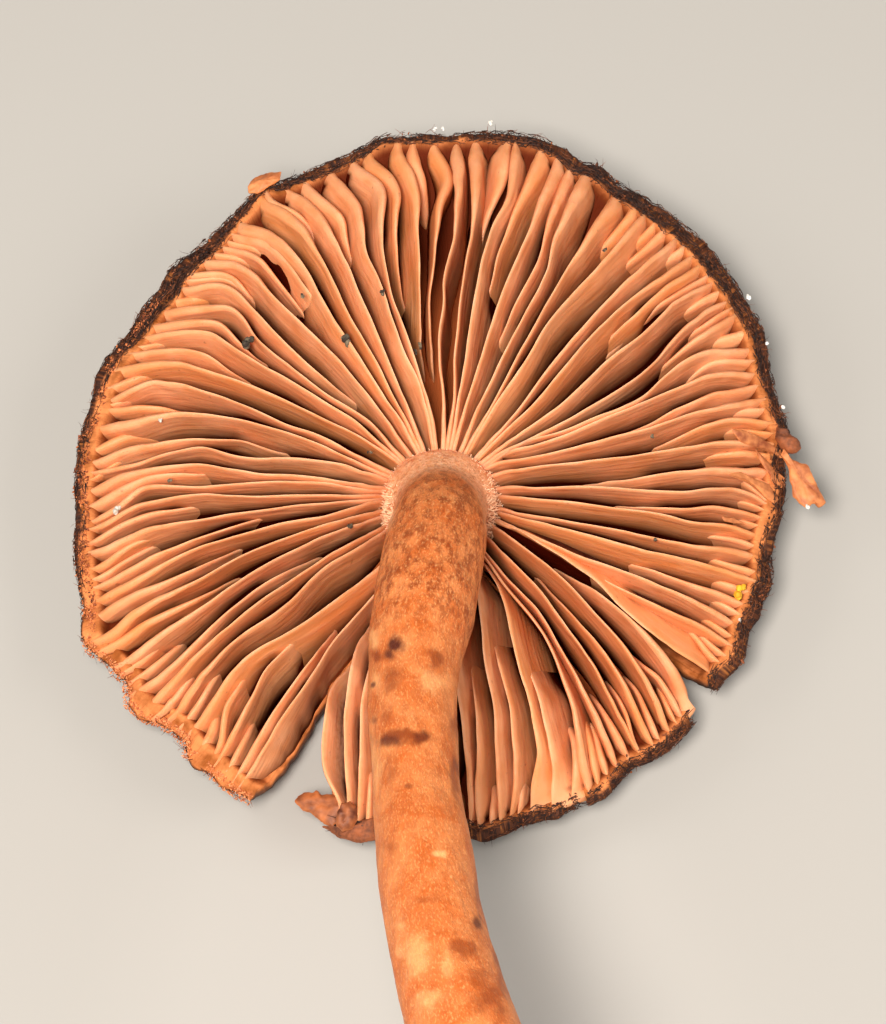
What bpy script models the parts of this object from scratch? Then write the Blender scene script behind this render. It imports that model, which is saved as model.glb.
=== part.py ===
"""A picked fibrecap mushroom lying on its crown: a gilled cap and the bent stem that grows from it.

Lengths are millimetres until they reach Blender, which takes metres. The cap has a frame of its
own, called the cap frame here: its origin lies on the crown under the top of the stem, its +Z
runs from the crown to the gills, and its -Y is the side that the stem leans to.
"""

import math

import bpy
import numpy as np
from mathutils import Matrix, Vector

MM = 0.001
SEED = 11

# How the cap lies: it rolls on its round crown towards the stem until its weight is over the flat.
CAP_TILT_DEG = 6.6
CROWN_RADIUS = 40.0
CROWN_CENTRE = (-0.6, 0.9)
REST_FLAT_DEPTH = 0.2

# The cap as the photograph shows it, in a view tilted off its axis. Azimuths run anticlockwise
# from +X about the top of the stem, and SEEN_HEIGHT is the height that stays in place there.
VIEW_TILT_DEG = 22.0
VIEW_DISTANCE = 250.0
SEEN_HEIGHT = 6.3
MARGIN_HEIGHT = 4.8
GILL_READ_RADIUS = 12.5
GILL_READ_HEIGHT = 8.3

# Seen azimuth in degrees and seen distance of the margin from the stem.
MARGIN_SEEN = (
    (0, 16.9),
    (20, 17.4),
    (40, 17.9),
    (60, 18.1),
    (85, 18.3),
    (100, 17.8),
    (115, 17.6),
    (125, 18.0),
    (137, 17.4),
    (150, 17.8),
    (165, 18.0),
    (185, 18.1),
    (200, 18.3),
    (213, 18.5),
    (225, 17.9),
    (237, 18.3),
    (255, 17.6),
    (280, 17.1),
    (296, 17.3),
    (305, 16.8),
    (330, 16.9),
    (345, 16.8),
)

# Shares of the way from the stem to the margin, with the flesh's thickness and the gills' depth.
FLESH = ((0.0, 4.2), (0.28, 3.3), (0.55, 2.1), (0.78, 1.3), (0.94, 0.8), (1.0, 0.5))
GILL_DEPTH = (
    (0.165, 1.7),
    (0.2, 2.7),
    (0.26, 3.8),
    (0.34, 4.5),
    (0.5, 4.9),
    (0.67, 4.2),
    (0.84, 2.4),
    (0.95, 0.9),
    (1.0, 0.3),
)

# Seen azimuths of the gills that reach the stem, read two thirds of the way out.
FULL_GILLS = (
    (1, 11, 17.5, 24.3, 29.1, 33.5, 39.3, 46.1, 56.4, 60.9, 64.4, 72.9, 76.8, 79.8, 86.4)
    + (97.1, 106.9, 112.1, 116.8, 123.4, 129.7, 139, 144.7, 151.4, 156.6, 161.1, 169.1)
    + (178, 186.1, 193, 200.8, 207.7, 214.5, 219.8, 228.5, 236.4, 250.5, 255, 262, 269)
    + (276, 282.8, 291.3, 299.5, 303, 311, 319, 328.2, 337.5, 345, 353.2)
)

# Seen azimuth and the distance from the stem's axis at which each shorter gill starts.
SHORT_GILLS = (
    (5.7, 7.7),
    (8, 12.2),
    (14, 10.8),
    (20.5, 9.2),
    (43, 10.8),
    (51, 5.6),
    (68.6, 6.5),
    (83.5, 5.2),
    (91.3, 7.5),
    (101.5, 10.6),
    (109.6, 11.5),
    (120.1, 10),
    (126.6, 10.6),
    (134.6, 6.2),
    (142, 10.6),
    (148.2, 11.1),
    (165, 7.8),
    (174, 10),
    (182.2, 10),
    (189.6, 6.9),
    (197, 9.9),
    (204.3, 11.4),
    (211.2, 7),
    (217.2, 11.8),
    (224, 11.7),
    (232.5, 8.9),
    (246.2, 8.4),
    (279.4, 7.8),
    (286.9, 7.1),
    (295, 8.3),
    (307, 7),
    (315, 6.5),
    (323.2, 6.7),
    (332.8, 7.5),
    (341.2, 10),
    (349, 6.3),
    (357, 8.4),
)

GILL_THICKNESS = 0.28
GILL_ROOT = 0.45
GILL_STEPS = (0.0, 0.07, 0.2, 0.4, 0.62, 0.84, 1.0)
GILL_START = 3.15
CROWDED_START = 5.2
CROWDED_DEG = 5.0
SHORT_RISE = 3.0
GILL_WAVE = 0.22

# Splits in the cap, each an outline seen from the view: x to the right, y up, from the stem.
SPLITS = {
    "split_left": (
        (-3.6, -6.3),
        (-5.3, -8.5),
        (-9.3, -16.5),
        (-9.5, -20.0),
        (-4.6, -20.0),
        (-5.6, -13.6),
        (-5.5, -10.0),
    ),
    "split_right": (
        (7.2, -4.8),
        (9.0, -6.2),
        (12.9, -8.0),
        (17.5, -10.9),
        (16.2, -14.2),
        (11.6, -9.7),
        (8.8, -6.9),
    ),
    "nick": ((6.5, -13.6), (7.55, -16.0), (8.1, -19.0), (7.5, -19.0), (6.9, -16.0)),
}
SPLIT_SEEN_HEIGHT = 6.0

# A torn scrap of the margin on the right, and the curled tip of the loose strip by the stem.
SCRAP_THICKNESS = 0.35
SCRAPS = {
    "right_scrap": ((16.4, 1.0, 4.9), (17.7, 0.8, 5.5), (19.0, 0.0, 5.7), (1.1, 2.0, 1.0)),
    "strip_tip": ((-3.7, -16.4, 5.0), (-5.2, -16.0, 6.6), (-7.2, -15.5, 6.8), (1.9, 1.6, 0.9)),
}

# The stem: distance along it, with its radius there and how far it strays to the side.
STEM_START = 4.5
STEM_LEAN_DEG = (24.0, 62.0)
STEM_BEND_LENGTH = 16.0
STEM_RADII = (
    (0.0, 2.6),
    (0.8, 2.5),
    (2.2, 2.12),
    (4.0, 2.2),
    (9.0, 2.48),
    (16.0, 2.46),
    (24.0, 2.32),
    (32.0, 2.16),
    (38.0, 2.12),
    (41.0, 2.34),
    (44.0, 2.52),
    (46.5, 2.5),
    (47.7, 2.0),
    (48.2, 1.2),
)
STEM_STRAY = (
    (0.0, 0.0),
    (11.0, -0.3),
    (16.5, -0.68),
    (24.0, -0.96),
    (31.0, -0.92),
    (34.0, -0.7),
    (37.0, -0.22),
    (41.0, 0.62),
    (45.0, 1.45),
    (48.2, 2.1),
)
STEM_POINTS = 30
STEM_SIDES = 4
STEM_GAP = 0.3


def profile(pairs, value):
    """Reads the curve through (value, result) pairs at one value or an array of them."""
    places, results = np.array(pairs).T
    return np.interp(value, places, results)


def cap_place(seen_x, seen_y, height):
    """Turns a place seen in the tilted view, at this height over the crown, to the cap frame.

    The view's scale holds at SEEN_HEIGHT on the stem's axis, and what is nearer looks larger.
    """
    sine = math.sin(math.radians(VIEW_TILT_DEG))
    cosine = math.cos(math.radians(VIEW_TILT_DEG))
    rise = height - SEEN_HEIGHT
    ahead = seen_y * (VIEW_DISTANCE - rise * cosine) - VIEW_DISTANCE * rise * sine
    y = ahead / (VIEW_DISTANCE * cosine - seen_y * sine)
    nearer = rise * cosine - y * sine
    return seen_x * (1 - nearer / VIEW_DISTANCE), y


def margin_table():
    """Returns the margin's azimuths in radians and its distances from the stem's axis."""
    seen_azimuth, seen_radius = np.array(MARGIN_SEEN).T
    seen_azimuth = np.radians(seen_azimuth)
    seen_x = seen_radius * np.cos(seen_azimuth)
    seen_y = seen_radius * np.sin(seen_azimuth)
    x, y = cap_place(seen_x, seen_y, MARGIN_HEIGHT)
    azimuth = np.arctan2(y, x) % math.tau
    order = np.argsort(azimuth)
    return azimuth[order], np.hypot(x, y)[order]


def margin_radius(azimuth):
    """Gives the margin's distance from the stem's axis at this azimuth, in the cap frame."""
    azimuths, radii = margin_table()
    return np.interp(np.asarray(azimuth) % math.tau, azimuths, radii, period=math.tau)


def crown_height(x, y):
    """Height of the crown's outer skin: a shallow round bowl."""
    return ((x - CROWN_CENTRE[0]) ** 2 + (y - CROWN_CENTRE[1]) ** 2) / (2 * CROWN_RADIUS)


def gill_azimuth(seen_deg):
    """Turns the azimuth at which a gill is seen two thirds of the way out to the cap frame."""
    seen = math.radians(seen_deg)
    seen_x = GILL_READ_RADIUS * math.cos(seen)
    seen_y = GILL_READ_RADIUS * math.sin(seen)
    x, y = cap_place(seen_x, seen_y, GILL_READ_HEIGHT)
    return math.atan2(y, x)


def gill_starts():
    """Lists (azimuth, start, is_full) for every gill, in the cap frame."""
    full = sorted(gill_azimuth(seen) % math.tau for seen in FULL_GILLS)
    found = []
    crowded_before = False
    for index, azimuth in enumerate(full):
        gap = azimuth - full[index - 1] if index else azimuth - full[-1] + math.tau
        crowded_before = gap < math.radians(CROWDED_DEG) and not crowded_before
        found.append((azimuth, CROWDED_START if crowded_before else GILL_START, True))
    found += [(gill_azimuth(seen) % math.tau, start, False) for seen, start in SHORT_GILLS]
    return found


def new_material(name, colour, roughness):
    material = bpy.data.materials.new(name)
    material.use_nodes = True
    shader = material.node_tree.nodes["Principled BSDF"]
    shader.inputs["Base Color"].default_value = (*colour, 1.0)
    shader.inputs["Roughness"].default_value = roughness
    return material


def clear_scene():
    for item in list(bpy.data.objects):
        bpy.data.objects.remove(item, do_unlink=True)


def new_collection(name):
    collection = bpy.data.collections.new(name)
    bpy.context.scene.collection.children.link(collection)
    return collection


def add_object(name, data, collection):
    item = bpy.data.objects.new(name, data)
    collection.objects.link(item)
    return item


def as_helper(item):
    """Marks a cutter or another object that only shapes the pieces."""
    item.hide_render = True
    item.display_type = "WIRE"
    return item


def add_boolean(target, other, operation):
    """Joins or cuts with the EXACT solver, which also copes with gills that run into each other."""
    step = target.modifiers.new(f"{operation.lower()} {other.name}", "BOOLEAN")
    step.operation = operation
    step.object = other
    step.solver = "EXACT"
    step.use_self = operation == "UNION"


def flesh_mesh(collection):
    """The cap without its gills: a turned profile whose rings are drawn out to the real margin."""
    shares = [0.0, 0.16, 0.32, 0.5, 0.66, 0.8, 0.92, 1.0]
    under = [(share, profile(FLESH, share)) for share in shares]
    over = [(share, 0.0) for share in shares[::-1]]
    verts = [(share * MM, 0.0, height * MM) for share, height in under + over]
    edges = [(index, index + 1) for index in range(len(verts) - 1)]
    data = bpy.data.meshes.new("flesh profile")
    data.from_pydata(verts, edges, [])
    turned = add_object("flesh profile", data, collection)
    screw = turned.modifiers.new("turn", "SCREW")
    screw.steps = screw.render_steps = 48
    screw.use_merge_vertices = True
    screw.merge_threshold = 1e-6
    graph = bpy.context.evaluated_depsgraph_get()
    shaped = bpy.data.meshes.new_from_object(turned.evaluated_get(graph))
    bpy.data.objects.remove(turned)
    points = np.empty(len(shaped.vertices) * 3, np.float32)
    shaped.vertices.foreach_get("co", points)
    points = points.reshape(-1, 3).astype(float) / MM
    azimuth = np.arctan2(points[:, 1], points[:, 0])
    points[:, :2] *= margin_radius(azimuth)[:, None]
    points[:, 2] += crown_height(points[:, 0], points[:, 1])
    shaped.vertices.foreach_set("co", (points * MM).astype(np.float32).ravel())
    shaped.update()
    return shaped


def gill_sheet(azimuth, start, is_full, phase):
    """One gill as an open sheet, two rows of points: its root in the flesh and its free edge."""
    end = margin_radius(azimuth) * 0.985
    steps = np.array(GILL_STEPS)
    radius = start + (end - start) * steps
    wave = GILL_WAVE * np.sin(radius / 2.6 + phase) * np.sin(math.pi * steps)
    turned = azimuth + wave / radius
    x, y = radius * np.cos(turned), radius * np.sin(turned)
    share = radius / margin_radius(turned)
    floor = crown_height(x, y) + profile(FLESH, share)
    depth = profile(GILL_DEPTH, share)
    if not is_full:
        depth = np.minimum(depth * 0.9, 0.35 + (radius - start) * depth.max() / SHORT_RISE)
    root = np.stack([x, y, floor - GILL_ROOT * np.minimum(1.0, 2.2 * (1.05 - share))], axis=1)
    edge = np.stack([x, y, floor + depth], axis=1)
    return np.concatenate([root, edge])


def gills_object(collection):
    """All the gills in one object: sheets that never touch each other, made solid together."""
    chance = np.random.default_rng(SEED)
    verts, faces = [], []
    count = len(GILL_STEPS)
    for azimuth, start, is_full in gill_starts():
        first = len(verts)
        verts.extend(gill_sheet(azimuth, start, is_full, chance.uniform(0, math.tau)) * MM)
        for step in range(count - 1):
            low, high = first + step, first + step + count
            faces.append((low, low + 1, high + 1, high))
    data = bpy.data.meshes.new("gills")
    data.from_pydata([tuple(vert) for vert in verts], [], faces)
    item = as_helper(add_object("gills", data, collection))
    solid = item.modifiers.new("thickness", "SOLIDIFY")
    solid.thickness = GILL_THICKNESS * MM
    solid.offset = 0.0
    return item


def split_cutter(name, outline, collection):
    """A prism through the cap along its axis, over an outline seen in the tilted view."""
    curve = bpy.data.curves.new(name, "CURVE")
    curve.dimensions = "2D"
    curve.fill_mode = "BOTH"
    curve.extrude = 12 * MM
    line = curve.splines.new("POLY")
    line.points.add(len(outline) - 1)
    for point, (seen_x, seen_y) in zip(line.points, outline):
        x, y = cap_place(seen_x, seen_y, SPLIT_SEEN_HEIGHT)
        point.co = (x * MM, y * MM, 0.0, 1.0)
    line.use_cyclic_u = True
    return as_helper(mesh_from_curve(name, curve, collection))


def mesh_from_curve(name, curve, collection):
    """Makes a curve a closed mesh object, with its caps welded."""
    guide = add_object(name + " curve", curve, collection)
    graph = bpy.context.evaluated_depsgraph_get()
    graph.update()
    data = bpy.data.meshes.new_from_object(guide.evaluated_get(graph))
    bpy.data.objects.remove(guide)
    item = add_object(name, data, collection)
    weld = item.modifiers.new("weld", "WELD")
    weld.merge_threshold = 1e-6
    graph.update()
    welded = bpy.data.meshes.new_from_object(item.evaluated_get(graph))
    item.modifiers.clear()
    item.data = welded
    welded.name = name
    return item


def scrap_object(name, shape, collection):
    """A curled scrap of flesh: a strip of three cross lines, from its root in the cap outwards."""
    *middles, widths = shape
    middles = [Vector((*cap_place(x, y, z), z)) for x, y, z in middles]
    along = (middles[-1] - middles[0]).normalized()
    across = along.cross(Vector((0, 0, 1))).normalized()
    verts = []
    for middle, width in zip(middles, widths):
        verts += [(middle + across * width * side / 2) * MM for side in (-1, 0, 1)]
    firsts = [3 * row + side for row in range(len(middles) - 1) for side in (0, 1)]
    faces = [(first, first + 1, first + 4, first + 3) for first in firsts]
    data = bpy.data.meshes.new(name)
    data.from_pydata(verts, [], faces)
    item = as_helper(add_object(name, data, collection))
    solid = item.modifiers.new("thickness", "SOLIDIFY")
    solid.thickness = SCRAP_THICKNESS * MM
    solid.offset = 0.0
    return item


def rest_cutter(collection):
    """The ground's side of the crown's flat, as a box that is cut away."""
    bpy.ops.mesh.primitive_cube_add(size=1.0)
    item = bpy.context.object
    item.name = "rest cutter"
    for home in list(item.users_collection):
        home.objects.unlink(item)
    collection.objects.link(item)
    item.scale = (60 * MM, 60 * MM, 10 * MM)
    item.location = (0.0, 0.0, -5 * MM)
    return as_helper(item)


def lie_down():
    """The matrix from the cap frame to the object's own, with the flat's middle at the origin."""
    tilt = math.radians(CAP_TILT_DEG)
    turn = Matrix.Rotation(tilt, 4, "X")
    low_x = CROWN_CENTRE[0]
    low_y = CROWN_CENTRE[1] - CROWN_RADIUS * math.tan(tilt)
    low = turn @ Vector((low_x, low_y, crown_height(low_x, low_y)))
    down = Vector((low.x, low.y, low.z + REST_FLAT_DEPTH))
    return Matrix.Translation(-down * MM) @ turn


def build_cap(parts, cutters, place):
    cap = add_object("cap", flesh_mesh(cutters), parts)
    cap.matrix_world = place
    gills = gills_object(cutters)
    gills.matrix_world = place
    add_boolean(cap, gills, "UNION")
    for name, shape in SCRAPS.items():
        scrap = scrap_object(name, shape, cutters)
        scrap.matrix_world = place
        add_boolean(cap, scrap, "UNION")
    for name, outline in SPLITS.items():
        cutter = split_cutter(name, outline, cutters)
        cutter.matrix_world = place
        add_boolean(cap, cutter, "DIFFERENCE")
    socket = as_helper(stem_tube("stem socket", cutters, STEM_GAP))
    socket.matrix_world = place
    add_boolean(cap, socket, "DIFFERENCE")
    add_boolean(cap, rest_cutter(cutters), "DIFFERENCE")
    cap.data.materials.append(new_material("gill flesh", (0.58, 0.24, 0.09), 0.7))


def stem_path():
    """Points down the middle of the stem and the radius at each, in the cap frame."""
    length = STEM_RADII[-1][0]
    along = np.linspace(0.0, length, STEM_POINTS)
    along = np.unique(np.concatenate([along, [place for place, _ in STEM_RADII[-3:]]]))
    fine = np.linspace(0.0, length, 500)
    ease = np.clip(fine / STEM_BEND_LENGTH, 0, 1)
    ease = ease * ease * (3 - 2 * ease)
    lean = np.radians(STEM_LEAN_DEG[0] + (STEM_LEAN_DEG[1] - STEM_LEAN_DEG[0]) * ease)
    step = fine[1] - fine[0]
    y = -np.cumsum(np.sin(lean)) * step
    z = STEM_START + np.cumsum(np.cos(lean)) * step
    x = profile(STEM_STRAY, along)
    points = np.stack([x, np.interp(along, fine, y), np.interp(along, fine, z)], axis=1)
    return points, profile(STEM_RADII, along)


def stem_tube(name, collection, clearance=0.0):
    """A round tube along the stem's path with a radius of its own at each point, made a mesh."""
    points, radii = stem_path()
    curve = bpy.data.curves.new(name, "CURVE")
    curve.dimensions = "3D"
    curve.bevel_depth = MM
    curve.bevel_resolution = STEM_SIDES
    curve.use_fill_caps = True
    line = curve.splines.new("POLY")
    line.points.add(len(points) - 1)
    points[0] -= (points[1] - points[0]) / np.linalg.norm(points[1] - points[0]) * clearance
    for point, co, radius in zip(line.points, points, radii):
        point.co = (*(co * MM), 1.0)
        point.radius = radius + clearance
    return mesh_from_curve(name, curve, collection)


def build_stem(parts, place):
    stem = stem_tube("stem", parts)
    stem.matrix_world = place
    stem.data.materials.append(new_material("stem flesh", (0.67, 0.29, 0.1), 0.6))


def main():
    clear_scene()
    parts = new_collection("fibrecap_mushroom")
    cutters = new_collection("cutters")
    place = lie_down()
    build_cap(parts, cutters, place)
    build_stem(parts, place)
    for item in parts.objects:
        item.data.shade_smooth()
        item.data.set_sharp_from_angle(angle=math.radians(35))


main()
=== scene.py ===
"""A picked fibrecap mushroom lying on its crown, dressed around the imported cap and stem.

Shapes are worked out in millimetres in the cap frame: its origin lies on the crown under the top
of the stem, its +Z runs from the crown to the gills, and its -Y is the side the stem leans to. A
place that is seen in the tilted view is given as x to the right and y up from the stem's top.
"""

import logging
import math
from dataclasses import dataclass
from enum import Enum
from functools import reduce
from typing import ClassVar

import bmesh
import bpy
import numpy as np
from mathutils import Matrix, Vector

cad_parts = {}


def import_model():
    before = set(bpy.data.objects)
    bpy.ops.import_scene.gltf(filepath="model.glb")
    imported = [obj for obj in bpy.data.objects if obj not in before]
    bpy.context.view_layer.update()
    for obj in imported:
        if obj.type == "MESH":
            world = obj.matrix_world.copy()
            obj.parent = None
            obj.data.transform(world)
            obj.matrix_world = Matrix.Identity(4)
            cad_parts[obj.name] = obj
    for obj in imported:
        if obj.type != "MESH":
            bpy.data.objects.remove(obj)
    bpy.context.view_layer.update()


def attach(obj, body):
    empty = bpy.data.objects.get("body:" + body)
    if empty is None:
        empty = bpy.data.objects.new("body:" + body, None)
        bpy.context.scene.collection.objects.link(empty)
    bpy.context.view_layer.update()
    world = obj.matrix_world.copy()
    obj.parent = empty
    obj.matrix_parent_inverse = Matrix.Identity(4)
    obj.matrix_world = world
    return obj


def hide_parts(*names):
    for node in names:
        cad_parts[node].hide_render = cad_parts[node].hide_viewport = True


LOG = logging.getLogger("fibrecap")

MM = 0.001
SEED = 11
BODY = "root"

FLESH_IOR = 1.4

# How the cap lies, as in the solids.
CAP_TILT_DEG = 6.6
CROWN_RADIUS = 40.0
CROWN_CENTRE = (-0.6, 0.9)
REST_FLAT_DEPTH = 0.2

# The view that the places are read in, and its scale.
VIEW_TILT_DEG = 22.0
VIEW_DISTANCE = 250.0
VIEW_HEIGHT_MM = 51.2
SEEN_HEIGHT = 6.3
PIXELS_PER_MM = 20.0
AXIS_PIXEL = (441.0, 494.0)
PICTURE_MIDDLE_SEEN = (0.1, -0.9)
SENSOR_MM = 24.0

CAP_RADIUS = 18.0
MARGIN_HEIGHT = 5.1
MARGIN_RISE = 0.8
FELT_COVER = 0.12
GILL_READ_RADIUS = 12.5
GILL_READ_HEIGHT = 8.3

# Seen azimuth in degrees and seen distance of the margin from the stem by turns, as read.
MARGIN_SEEN = (
    2.3, 17.3, 6.1, 17.3, 9, 17.7, 10.9, 17.8, 16, 17.6, 21, 17.7, 28, 18.2, 33, 18.2, 38, 18.3, 44,
    18.4, 49, 18.35, 53, 18.3, 56, 18.25, 60.5, 18.2, 64.5, 18.5, 67.5, 18.3, 71, 18.6, 75, 18.75, 79,
    18.7, 87, 18.35, 91, 18.3, 96.5, 18.45, 99, 18.5, 103, 18.15, 107.5, 17.95, 114, 17.95, 116.5, 18,
    119.5, 18.3, 122, 18.1, 126, 17.9, 131, 17.7, 136, 17.85, 139.5, 18, 142, 17.75, 147, 17.9, 151.5,
    17.9, 157, 18.3, 160, 18.4, 165, 18.2, 168, 18.35, 173, 18.4, 178, 18.4, 183.5, 18.3, 188, 18.6,
    192, 18.7, 196, 18.7, 199, 19, 202, 19.4, 203.8, 19.6, 206, 19, 207.8, 18.85, 209, 18.95, 210.3,
    18.5, 212, 18.8, 214, 19.15, 215.3, 18.85, 217, 19, 219, 18.35, 222, 18.05, 224, 18.07, 226, 18.4,
    228.5, 18.35, 231, 18.4, 233.5, 18.4, 236, 18.5, 252.5, 17.9, 256.5, 18, 259, 17.75, 265, 17.5,
    275, 17.3, 277, 17.7, 279.5, 17.5, 283, 17.2, 287, 17.15, 290, 17.35, 292, 17.1, 295.5, 17.4, 299,
    17.25, 301, 17, 305, 16.7, 309.5, 17.1, 313, 17.15, 316.5, 17.1, 327.5, 16.9, 330, 17.2, 333, 17.1,
    336.5, 16.8, 339, 17, 342, 17, 345.5, 17.2, 349.5, 16.8, 353.5, 16.8, 357.5, 17.1,
)

# Shares of the way from the stem to the margin, with the flesh's thickness and the gills' depth.
FLESH = ((0.0, 4.2), (0.28, 3.3), (0.55, 2.1), (0.78, 1.3), (0.94, 0.75), (1.0, 0.38))
GILL_DEPTH = (
    (0.13, 1.2), (0.16, 1.7), (0.2, 2.7), (0.26, 3.7), (0.34, 4.4), (0.5, 4.9), (0.67, 4.3), (0.8, 3.1),
    (0.88, 1.9), (0.94, 0.85), (0.975, 0.25), (1.0, -0.1),
)
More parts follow.
